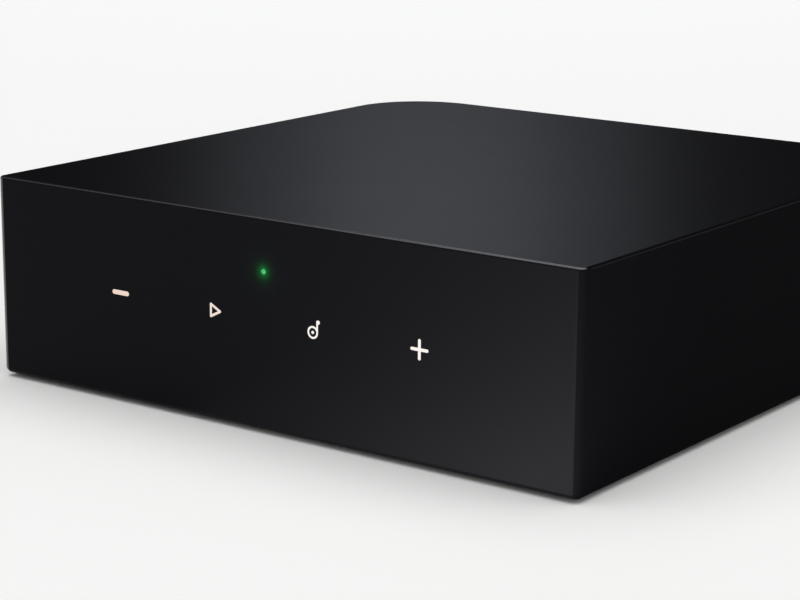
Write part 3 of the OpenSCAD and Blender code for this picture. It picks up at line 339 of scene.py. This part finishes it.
# Extruded aluminium: die lines run along its fins.
EXTRUDED_ALU = Finish("extruded_aluminium", "#b9bbbd", "#cccdd0", 0.36, grain=0.2, depth=0.004,
                      lay=Lay.ALONG_Y, metallic=1.0)
# Polyimide film over copper: amber brown and satin.
POLYIMIDE = Finish("polyimide_film", "#5a3412", "#6d431b", 0.3, grain=3.0, depth=0.02,
                   mark=Mark.TRACKS)
# Thin gold plate over nickel: yellow, bright, lightly scuffed.
GOLD_PLATE = Finish("gold_plated_brass", "#d9b25a", "#e6c475", 0.2, grain=0.3, depth=0.001,
                    metallic=1.0)
# Drawn fluoropolymer jacket: slick dark grey.
LEAD_JACKET = Finish("fluoropolymer_jacket", "#2a2a2c", "#343436", 0.35, grain=0.6, depth=0.004)
# Pressed ferrite: dark grey, grainy and matt.
FERRITE = Finish("pressed_ferrite", "#2b2b2e", "#3a3a3d", 0.7, grain=0.2, depth=0.01)
# Drawn aluminium can: bright with fine vertical draw lines.
DRAWN_ALU = Finish("drawn_aluminium", "#c0c2c4", "#d2d3d5", 0.25, grain=0.2, depth=0.0015,
                   lay=Lay.ALONG_Z, metallic=1.0)
# Glass-filled PBT: black socket bodies with a dry, slightly streaky matt.
BLACK_PBT = Finish("black_pbt_moulded", "#141415", "#1d1d1f", 0.5, grain=0.3, depth=0.004,
                   specular=0.4)
# Nickel plate on turned brass: a warm bright grey with faint turning rings.
NICKEL_PLATE = Finish("nickel_plated_turned_brass", "#b9b4aa", "#cdc8be", 0.3, grain=0.18,
                      depth=0.004, lay=Lay.AROUND_Y, metallic=1.0)
# Gloss ABS colour-coded insulators.
WHITE_ABS = Finish("white_abs_gloss", "#d8d8d4", "#e2e2de", 0.25, grain=0.6, depth=0.001)
RED_ABS = Finish("red_abs_gloss", "#a3161b", "#b21d22", 0.25, grain=0.6, depth=0.001)
ORANGE_ABS = Finish("orange_abs_gloss", "#c9601a", "#d66c22", 0.25, grain=0.6, depth=0.001)
# Dark grey PBT shutters, a shade lighter than the sockets round them.
GREY_PBT = Finish("grey_pbt_moulded", "#242527", "#2e2f31", 0.45, grain=0.3, depth=0.003)
# Red-tinted polycarbonate lens: glossy and deep.
RED_LENS = Finish("red_polycarbonate_lens", "#5c0d0f", "#741316", 0.1, grain=0.5, depth=0.0005,
                  ior=1.58, coat=0.5, coat_roughness=0.05)
# Frosted polycarbonate lamp window: pale green-grey when unlit.
LAMP_WINDOW = Finish("frosted_polycarbonate_window", "#8e9a86", "#a3ae9b", 0.35, grain=0.3,
                     depth=0.002, ior=1.58)
# Dark grey ABS push button with a satin moulded top.
BUTTON_ABS = Finish("grey_abs_satin", "#2b2c2e", "#343537", 0.4, grain=0.3, depth=0.002)
# Pale studio floor: smooth painted board with a faint roller texture.
FLOOR_PAINT = Finish("white_painted_board", "#f6f6f5", "#f8f8f7", 0.85, grain=3.0, depth=0.02,
                     specular=0.1, drift=400.0)


def dress(finish: Finish, *nodes: str) -> None:
    """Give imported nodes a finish.

    Args:
        finish: the finish that they take.
        *nodes: the nodes' names.
    """
    for name in nodes:
        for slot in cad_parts[name].material_slots:
            slot.link = "OBJECT"
            slot.material = finish.material()
        LOG.info("%s: %s", name, finish.name)


NodeFinishes = dict[Finish, tuple[str, ...]]


@dataclass
class SubAssembly:
    """Pieces that belong together.

    Attributes:
        finishes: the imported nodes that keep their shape, by the finish that they take.
    """

    finishes: NodeFinishes

    def build(self) -> None:
        """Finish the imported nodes."""
        for finish, nodes in self.finishes.items():
            dress(finish, *nodes)


def add_piece(name: str, mesh: bpy.types.Mesh, body: str) -> bpy.types.Object:
    """Put a mesh in the scene as a piece that rides on a body.

    Args:
        name: the piece's name.
        mesh: its mesh, in metres.
        body: the body that carries it.

    Returns:
        The new object.
    """
    piece = bpy.data.objects.new(name, mesh)
    bpy.context.scene.collection.objects.link(piece)
    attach(piece, body)
    LOG.info("%s: new piece, %d faces", name, len(mesh.polygons))
    return piece


def round_points(centre: Point, radius: float, start: float, turn: float,
                 steps: int) -> list[Point]:
    """List the points of an arc.

    Args:
        centre: the arc's centre.
        radius: its radius.
        start: the angle of its first point, in degrees.
        turn: how far it turns, in degrees.
        steps: how many points it has.

    Returns:
        The points, evenly spaced, both ends included.
    """
    angles = [math.radians(start + turn * i / (steps - 1)) for i in range(steps)]
    return [(centre[0] + radius * math.cos(a), centre[1] + radius * math.sin(a)) for a in angles]


@dataclass(frozen=True)
class Bar:
    """A straight stroke with round ends, drawn in X and Z, in millimetres.

    Attributes:
        start: the middle of its first end.
        end: the middle of its other end.
        width: its width.
        end_steps: how many points each round end has.
    """

    start: Point
    end: Point
    width: float
    end_steps: int = 13

    def loops(self) -> list[list[Point]]:
        """Return the stroke's one outline."""
        lean = math.degrees(math.atan2(self.end[1] - self.start[1], self.end[0] - self.start[0]))
        far = round_points(self.end, self.width / 2, lean - 90, 180, self.end_steps)
        near = round_points(self.start, self.width / 2, lean + 90, 180, self.end_steps)
        return [far + near]


@dataclass(frozen=True)
class Ring:
    """A round stroke, or a filled dot where its bore is zero, drawn in X and Z, in millimetres.

    Attributes:
        centre: its middle.
        outer: its outer radius.
        bore: its inner radius.
        steps: how many points an outline has, its first one counted twice.
    """

    centre: Point
    outer: float
    bore: float = 0.0
    steps: int = 49

    def loops(self) -> list[list[Point]]:
        """Return the outer outline, and the bore's outline where there is one."""
        radii = [r for r in (self.outer, self.bore) if r > 0]
        return [round_points(self.centre, r, 0, 360, self.steps)[:-1] for r in radii]


def stroke_mesh(name: str, loops: Sequence[Sequence[Point]], back: float,
                front: float) -> bpy.types.Mesh:
    """Make a flat solid from one outline, or from an outline and the bore inside it.

    Args:
        name: the mesh's name.
        loops: the outline in X and Z, and the bore's outline with as many points.
        back: Y of the solid's back.
        front: Y of the solid's front.

    Returns:
        A closed mesh, in millimetres.
    """
    shape = bmesh.new()
    levels = [[[shape.verts.new((x, y, z)) for x, z in loop] for y in (back, front)]
              for loop in loops]
    if len(loops) == 1:
        for level in levels[0]:
            shape.faces.new(level)
        walls = [(levels[0][0], levels[0][1])]
    else:
        walls = [(levels[0][0], levels[0][1]), (levels[1][0], levels[1][1]),
                 (levels[0][0], levels[1][0]), (levels[0][1], levels[1][1])]
    for one, other in walls:
        for i, vert in enumerate(one):
            shape.faces.new((one[i - 1], vert, other[i], other[i - 1]))
    bmesh.ops.recalc_face_normals(shape, faces=shape.faces)
    mesh = bpy.data.meshes.new(name)
    shape.to_mesh(mesh)
    shape.free()
    return mesh


def united(name: str, solids: Sequence[bpy.types.Mesh]) -> bpy.types.Mesh:
    """Join overlapping solids into one.

    Args:
        name: the joined mesh's name.
        solids: the meshes to join, in millimetres.

    Returns:
        One closed mesh, in metres.
    """
    stand_ins = [bpy.data.objects.new(name, solid) for solid in solids]
    for stand_in in stand_ins:
        bpy.context.scene.collection.objects.link(stand_in)
    for other in stand_ins[1:]:
        union = stand_ins[0].modifiers.new("union", "BOOLEAN")
        union.operation = "UNION"
        union.object = other
    graph = bpy.context.evaluated_depsgraph_get()
    mesh = bpy.data.meshes.new_from_object(stand_ins[0].evaluated_get(graph))
    for stand_in in stand_ins:
        bpy.data.objects.remove(stand_in)
    mesh.transform(Matrix.Scale(MM, 4))
    mesh.name = name
    return mesh


class Zone(Enum):
    """The parts of one moulding that are finished differently."""

    FACE = "face"
    EDGE = "edge"
    TOP = "top"
    WALL = "wall"


@dataclass
class Case(SubAssembly):
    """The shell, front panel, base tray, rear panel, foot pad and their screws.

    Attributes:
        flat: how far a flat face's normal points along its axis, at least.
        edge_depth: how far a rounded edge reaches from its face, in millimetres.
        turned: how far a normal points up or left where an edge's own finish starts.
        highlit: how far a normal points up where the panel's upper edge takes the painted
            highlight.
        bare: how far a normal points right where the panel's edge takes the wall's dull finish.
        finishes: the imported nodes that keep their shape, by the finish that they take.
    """

    flat: float = 0.999
    edge_depth: float = 1.6
    turned: float = 0.05
    highlit: float = 0.5
    bare: float = 0.25
    finishes: NodeFinishes = field(default_factory=lambda: {
        TRAY_ABS: ("base_tray", "rear_panel"),
        SILICONE: ("foot_pad",),
        ZINC_STEEL: ("case_screws",),
    })

    def build(self) -> None:
        """Build the dressed shell and front panel, and finish the rest of the case."""
        self.build_shell()
        self.build_front_panel()
        super().build()

    def build_shell(self) -> bpy.types.Object:
        """Copy the shell's solid and finish its top, upper edge and walls apart.

        Returns:
            The piece that stands for the shell.
        """
        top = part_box("upper_shell")[1].z
        return self.zoned("upper_shell", "case_plastic", {
            Zone.TOP: SPARKED_ABS, Zone.EDGE: WORN_ABS, Zone.WALL: COARSE_ABS},
            lambda face: self.shell_zone(face, top))

    def build_front_panel(self) -> bpy.types.Object:
        """Copy the panel's solid and finish its face, painted-highlight edges, top and the rest
        apart.

        Returns:
            The piece that stands for the panel.
        """
        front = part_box("front_panel")[0].y
        return self.zoned("front_panel", "front_plastic", {
            Zone.FACE: COATED_PC, Zone.EDGE: PAINTED_HIGHLIGHT_EDGE, Zone.TOP: SPARKED_ABS,
            Zone.WALL: COARSE_ABS}, lambda face: self.panel_zone(face, front))

    @staticmethod
    def zoned(node: str, slot: str, finishes: dict[Zone, Finish],
              zone_of: Callable[[bpy.types.MeshPolygon], Zone]) -> bpy.types.Object:
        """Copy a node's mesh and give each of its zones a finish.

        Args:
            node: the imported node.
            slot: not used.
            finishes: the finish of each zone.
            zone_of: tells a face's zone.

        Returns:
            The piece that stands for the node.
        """
        name = node + "_dressed"
        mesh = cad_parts[node].data.copy()
        mesh.name = name
        mesh.materials.clear()
        for finish in finishes.values():
            mesh.materials.append(finish.material())
        order = list(finishes)
        for face in mesh.polygons:
            face.material_index = order.index(zone_of(face))
        piece = add_piece(name, mesh, "case")
        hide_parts(node)
        return piece

    def shell_zone(self, face: bpy.types.MeshPolygon, top: float) -> Zone:
        """Tell which zone of the shell a face belongs to.

        Args:
            face: the face to place.
            top: Z of the shell's top, in metres.

        Returns:
            The face's zone.
        """
        if face.normal.z > self.flat:
            return Zone.TOP
        rounded = face.normal.z > self.turned and face.center.z > top - self.edge_depth * MM
        return Zone.EDGE if rounded else Zone.WALL

    def panel_zone(self, face: bpy.types.MeshPolygon, front: float) -> Zone:
        """Tell which zone of the front panel a face belongs to.

        Args:
            face: the face to place.
            front: Y of the panel's front, in metres.

        Returns:
            The face's zone.
        """
        if face.normal.y < -self.flat:
            return Zone.FACE
        if face.normal.z > self.flat:
            return Zone.TOP
        rounded = max(abs(v) for v in face.normal) < self.flat
        if not rounded or face.center.y > front + self.edge_depth * MM:
            return Zone.WALL
        # The upper edge and the left edge take the lighter, glossier black of the painted
        # highlight.
        if face.normal.z > self.highlit or face.normal.x < -self.turned:
            return Zone.EDGE
        # The right edge takes the wall's dull finish rather than the coat, which keeps it as dark
        # as the shaded wall beside it.
        return Zone.WALL if face.normal.x > self.bare else Zone.FACE


@dataclass(frozen=True)
class Icon:
    """One lit icon.

    Attributes:
        strokes: the strokes that it is drawn with.
        ink: the finish that it takes.
    """

    strokes: tuple[Bar | Ring, ...]
    ink: Finish


@dataclass
class TouchFront(SubAssembly):
    """The four lit touch icons, the status light and the touch board behind them.

    Attributes:
        layer: how far the ink stands proud of the panel, in millimetres.
        bite: how far the ink sinks into the panel, in millimetres.
        lens_radius: the status lens's radius, in millimetres.
        lens_rise: how far its dome stands proud of the panel, in millimetres.
        lens_seat: how far it sinks into the panel, in millimetres.
        lens_steps: how many steps its dome has.
        lens_sides: how many sides it has all round.
        icons: the icons by their names, drawn in X and Z, in millimetres.
        finishes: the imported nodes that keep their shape, by the finish that they take.
    """

    layer: float = 0.03
    bite: float = 0.02
    lens_radius: float = 0.48
    lens_rise: float = 0.14
    lens_seat: float = 0.3
    lens_steps: int = 8
    lens_sides: int = 32
    icons: dict[str, Icon] = field(default_factory=lambda: {
        "icon_minus": Icon((Bar((-38.15, 22.49), (-34.72, 22.49), 0.93),), PEACH_INK),
        "icon_play": Icon((Bar((-13.05, 21.33), (-13.05, 23.7), 0.48),
                           Bar((-13.05, 23.7), (-10.76, 22.5), 0.48),
                           Bar((-10.76, 22.5), (-13.05, 21.33), 0.48)), CREAM_INK),
        "icon_note": Icon((Ring((11.73, 21.94), 1.23, 0.85),
                           Bar((12.77, 21.94), (12.77, 24.12), 0.38),
                           Ring((12.99, 23.98), 0.4)), WHITE_INK),
        "icon_note_dot": Icon((Ring((11.73, 21.94), 0.31),), WHITE_INK),
        "icon_plus": Icon((Bar((34.36, 22.54), (37.72, 22.54), 0.6),
                           Bar((36.04, 20.87), (36.04, 24.22), 0.6)), WHITE_INK),
    })
    finishes: NodeFinishes = field(default_factory=lambda: {
        FOAM_TAPE: ("touch_adhesive",),
        GREEN_BOARD: ("touch_board",),
        COPPER_FOIL: ("touch_pads",),
        EPOXY_CHIP: ("touch_chip",),
        LAMP_EPOXY: ("status_led",),
        PIPE_ACRYLIC: ("light_pipe",),
        IVORY_NYLON: ("touch_socket",),
        RIBBON_FILM: ("touch_ribbon",),
    })

    def build(self) -> None:
        """Build the icons and the status lens, and finish the touch board's parts."""
        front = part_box("front_panel")[0].y / MM
        for name, icon in self.icons.items():
            self.build_icon(name, icon, front)
        self.build_lens(front)
        super().build()

    def build_icon(self, name: str, icon: Icon, front: float) -> bpy.types.Object:
        """Build one icon as a thin layer of ink on the panel.

        Args:
            name: the icon's name.
            icon: its strokes and its ink.
            front: Y of the panel's front, in millimetres.

        Returns:
            The icon.
        """
        solids = [stroke_mesh(name, stroke.loops(), front + self.bite, front - self.layer)
                  for stroke in icon.strokes]
        mesh = united(name, solids)
        mesh.materials.clear()
        mesh.materials.append(icon.ink.material())
        return add_piece(name, mesh, "case")

    def build_lens(self, front: float) -> bpy.types.Object:
        """Build the domed end of the status light's pipe.

        Args:
            front: Y of the panel's front, in millimetres.

        Returns:
            The lens.
        """
        lo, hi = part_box("light_pipe")
        middle = (lo + hi) / 2
        climb = [math.pi / 2 * i / self.lens_steps for i in range(self.lens_steps + 1)]
        turns = [2 * math.pi * k / self.lens_sides for k in range(self.lens_sides)]
        profile = [(self.lens_radius, self.lens_seat)]
        profile += [(self.lens_radius * math.cos(a), -self.lens_rise * math.sin(a)) for a in climb]
        shape = bmesh.new()
        rings = [[shape.verts.new((middle.x + r * MM * math.cos(a), (front + y) * MM,
                                   middle.z + r * MM * math.sin(a))) for a in turns]
                 for r, y in profile[:-1]]
        tip = shape.verts.new((middle.x, (front + profile[-1][1]) * MM, middle.z))
        for near, far in zip(rings, rings[1:]):
            for k in range(self.lens_sides):
                shape.faces.new((near[k - 1], near[k], far[k], far[k - 1])).smooth = True
        for k in range(self.lens_sides):
            shape.faces.new((rings[-1][k - 1], rings[-1][k], tip)).smooth = True
        shape.faces.new(rings[0])
        bmesh.ops.recalc_face_normals(shape, faces=shape.faces)
        mesh = bpy.data.meshes.new("status_lens")
        shape.to_mesh(mesh)
        shape.free()
        mesh.materials.append(PIPE_ACRYLIC.material())
        return add_piece("status_lens", mesh, "case")


@dataclass
class Electronics(SubAssembly):
    """The main board with its chips, coils, radio module, heat sink and antennas."""

    finishes: NodeFinishes = field(default_factory=lambda: {
        GREEN_BOARD: ("main_board",),
        ZINC_STEEL: ("board_screws",),
        IVORY_NYLON: ("board_socket",),
        BLUE_BOARD: ("wireless_module",),
        TINNED_STEEL: ("module_can", "clock_crystals"),
        HEAT_PAD: ("thermal_pad",),
        EXTRUDED_ALU: ("heat_sink",),
        POLYIMIDE: ("antenna_left", "antenna_right"),
        GOLD_PLATE: ("antenna_plugs",),
        LEAD_JACKET: ("antenna_leads",),
        EPOXY_CHIP: ("dac_chip", "adc_chip", "power_chip"),
        FERRITE: ("power_coils",),
        DRAWN_ALU: ("filter_capacitors",),
    })


@dataclass
class SocketBank(SubAssembly):
    """The sockets along the rear panel."""

    finishes: NodeFinishes = field(default_factory=lambda: {
        BLACK_PBT: ("line_in_block", "line_out_block", "coax_block", "optical_in_socket",
                    "optical_out_socket", "lan_core", "usb_tongue", "trigger_jack", "reset_switch"),
        NICKEL_PLATE: ("rca_sleeves", "trigger_ring"),
        WHITE_ABS: ("rca_inserts_white",),
        RED_ABS: ("rca_inserts_red",),
        ORANGE_ABS: ("rca_insert_coax",),
        GOLD_PLATE: ("rca_contacts", "lan_contacts"),
        GREY_PBT: ("optical_in_shutter", "optical_out_shutter"),
        RED_LENS: ("optical_lenses",),
        TINNED_STEEL: ("lan_shield", "usb_shell"),
        LAMP_WINDOW: ("lan_lamps",),
        BUTTON_ABS: ("reset_button",),
    })


@dataclass(frozen=True)
class Fade:
    """How a lamp brightens from one corner.

    Attributes:
        dim: the light at that corner, as a share of the full light.
        rise: how fast the light grows along each side.
        bend: the power that bends its growth.
    """

    dim: float
    rise: Point
    bend: float


@dataclass(frozen=True)
class SoftBox:
    """A flat lamp, evenly lit unless it has a fade.

    Attributes:
        name: the lamp's name.
        place: its middle, in millimetres.
        aim: the point that it faces, in millimetres.
        width: its width, in millimetres.
        height: its height, in millimetres.
        radiance: how bright its face is.
        colour: its light's colour.
        fade: how it brightens from one corner, if it does.
    """

    name: str
    place: Point3
    aim: Point3
    width: float
    height: float
    radiance: float
    colour: str = "#ffffff"
    fade: Fade | None = None

    def build(self) -> bpy.types.Object:
        """Hang the lamp, out of the camera's sight.

        Returns:
            The lamp.
        """
        data = bpy.data.lights.new(self.name, "AREA")
        data.shape = "RECTANGLE"
        data.size = self.width * MM
        data.size_y = self.height * MM
        data.energy = self.radiance * math.pi * data.size * data.size_y
        data.color = linear(self.colour)[:3]
        if self.fade:
            self._shade(data)
        lamp = bpy.data.objects.new(self.name, data)
        bpy.context.scene.collection.objects.link(lamp)
        lamp.location = Vector(self.place) * MM
        way = Vector(self.aim) - Vector(self.place)
        lamp.rotation_euler = way.to_track_quat("-Z", "Y").to_euler()
        lamp.visible_camera = False
        return lamp

    def _shade(self, data: bpy.types.AreaLight) -> None:
        """Make the lamp brighten from one corner.

        Args:
            data: the lamp's settings.
        """
        data.use_nodes = True
        tree = data.node_tree
        tree.nodes.clear()
        place = add_node(tree, "ShaderNodeNewGeometry").outputs["Parametric"]
        away = add_node(tree, "ShaderNodeVectorMath", {0: place, 1: (*self.fade.rise, 0.0)},
                        operation="DOT_PRODUCT")
        corner = sum(self.fade.rise)
        share = add_node(tree, "ShaderNodeMapRange", {
            "Value": away.outputs["Value"], "From Min": corner, "From Max": corner - 1.0})
        curve = add_node(tree, "ShaderNodeMath", {0: share.outputs["Result"], 1: self.fade.bend},
                         operation="POWER")
        light = add_node(tree, "ShaderNodeMapRange", {
            "Value": curve.outputs["Value"], "To Min": self.fade.dim})
        shader = add_node(tree, "ShaderNodeEmission", {"Strength": light.outputs["Result"]})
        add_node(tree, "ShaderNodeOutputLight", {"Surface": shader.outputs["Emission"]})


@dataclass
class Studio:
    """The floor, the light and the camera.

    Attributes:
        eye: where the camera stands, in millimetres.
        yaw: how far its view is turned from straight at the front, in degrees.
        pitch: how far it looks down, in degrees.
        roll: how far it leans, in degrees.
        lens: its focal length, in millimetres.
        sensor: its sensor's width, in millimetres.
        near: the nearest distance that it shows, in millimetres.
        far: the farthest distance that it shows, in millimetres.
        floor_radius: the floor's radius, in millimetres.
        floor_sides: how many sides the floor has.
        overhead: the ceiling's radiance.
        wall: the pale walls' radiance.
        curtain: the dark curtain's radiance.
        curtain_way: the level direction of the curtain's middle.
        curtain_core: how far from its middle the curtain is fully dark, in degrees.
        curtain_end: how far from its middle the curtain ends, in degrees.
        ceiling_low: the height at which the ceiling starts, in degrees.
        ceiling_high: the height at which it is fully bright, in degrees.
        boxes: the lamps.
    """

    eye: Point3 = (270.75, -395.54, 127.56)
    yaw: float = 36.295
    pitch: float = 13.442
    roll: float = 0.386
    lens: float = 104.522
    sensor: float = 36.0
    near: float = 10.0
    far: float = 200000.0
    floor_radius: float = 40000.0
    floor_sides: int = 96
    overhead: float = 1.85
    wall: float = 0.8
    curtain: float = 0.012
    curtain_way: Point3 = (-0.588, 0.809, 0.0)
    curtain_core: float = 62.0
    curtain_end: float = 90.0
    ceiling_low: float = 46.0
    ceiling_high: float = 60.0
    # The bright strip hangs in front of its wider skirt, because lamps in one place do not add up.
    boxes: tuple[SoftBox, ...] = (
        SoftBox("rear_strip", (-706, 973, 729), (0, 0, 40), 180, 873, 0.75, "#eef3ff"),
        SoftBox("rear_skirt", (-728, 1003, 750), (0, 0, 40), 365, 900, 0.61, "#eef3ff"),
        SoftBox("near_card", (55, -146, 0.5), (55, -146, 1000), 150, 150, 4.7,
                fade=Fade(dim=0.1, rise=(1.95, 0.25), bend=1.7)),
        SoftBox("far_card", (0, -225, 0.3), (0, -225, 1000), 140, 110, 1.4),
    )

    def build(self) -> None:
        """Set up the whole studio."""
        self.build_floor()
        self.build_sky()
        for box in self.boxes:
            box.build()
        self.build_camera()
        bpy.context.scene.view_settings.view_transform = "Standard"

    def build_floor(self) -> None:
        """Lay the floor."""
        shape = bmesh.new()
        bmesh.ops.create_circle(shape, cap_ends=True, segments=self.floor_sides,
                                radius=self.floor_radius * MM)
        mesh = bpy.data.meshes.new("floor")
        shape.to_mesh(mesh)
        shape.free()
        mesh.materials.append(FLOOR_PAINT.material())
        floor = bpy.data.objects.new("floor", mesh)
        bpy.context.scene.collection.objects.link(floor)

    def build_sky(self) -> None:
        """Light the room from a bright ceiling and pale walls, with a dark curtain on one side."""
        world = bpy.data.worlds.new("studio")
        world.use_nodes = True
        tree = world.node_tree
        tree.nodes.clear()
        way = add_node(tree, "ShaderNodeTexCoord").outputs["Generated"]
        flat = add_node(tree, "ShaderNodeVectorMath", {0: way, 1: (1.0, 1.0, 0.0)},
                        operation="MULTIPLY")
        level = add_node(tree, "ShaderNodeVectorMath", {0: flat.outputs["Vector"]},
                         operation="NORMALIZE")
        facing = add_node(tree, "ShaderNodeVectorMath", {
            0: level.outputs["Vector"], 1: self.curtain_way}, operation="DOT_PRODUCT")
        walls = add_node(tree, "ShaderNodeMapRange", {
            "Value": facing.outputs["Value"],
            "From Min": math.cos(math.radians(self.curtain_end)),
            "From Max": math.cos(math.radians(self.curtain_core)),
            "To Min": self.wall, "To Max": self.curtain}, interpolation_type="SMOOTHSTEP")
        height = add_node(tree, "ShaderNodeSeparateXYZ", {"Vector": way}).outputs["Z"]
        light = add_node(tree, "ShaderNodeMapRange", {
            "Value": height, "From Min": math.sin(math.radians(self.ceiling_low)),
            "From Max": math.sin(math.radians(self.ceiling_high)),
            "To Min": walls.outputs["Result"], "To Max": self.overhead},
            interpolation_type="SMOOTHSTEP")
        shader = add_node(tree, "ShaderNodeBackground", {
            "Color": linear("#ffffff"), "Strength": light.outputs["Result"]})
        add_node(tree, "ShaderNodeOutputWorld", {"Surface": shader.outputs["Background"]})
        bpy.context.scene.world = world

    def build_camera(self) -> None:
        """Stand the camera where the photograph was taken from."""
        turn, tip, lean = (math.radians(v) for v in (self.yaw, self.pitch, self.roll))
        back = Vector((math.sin(turn) * math.cos(tip), -math.cos(turn) * math.cos(tip),
                       math.sin(tip)))
        level = (-back).cross(Vector((0.0, 0.0, 1.0))).normalized()
        upright = level.cross(-back)
        right = level * math.cos(lean) + upright * math.sin(lean)
        up = upright * math.cos(lean) - level * math.sin(lean)
        data = bpy.data.cameras.new("camera")
        data.lens = self.lens
        data.sensor_width = self.sensor
        data.clip_start = self.near * MM
        data.clip_end = self.far * MM
        camera = bpy.data.objects.new("camera", data)
        bpy.context.scene.collection.objects.link(camera)
        axes = Matrix((right, up, back)).transposed().to_4x4()
        camera.matrix_world = Matrix.Translation(Vector(self.eye) * MM) @ axes
        bpy.context.scene.camera = camera


def main() -> None:
    """Build the studio and every sub-assembly."""
    logging.basicConfig(level=logging.INFO, format="%(name)s %(message)s")
    for assembly in (Studio(), Case(), TouchFront(), Electronics(), SocketBank()):
        LOG.info("building %s", type(assembly).__name__)
        assembly.build()


if __name__ == "__main__":
    main()
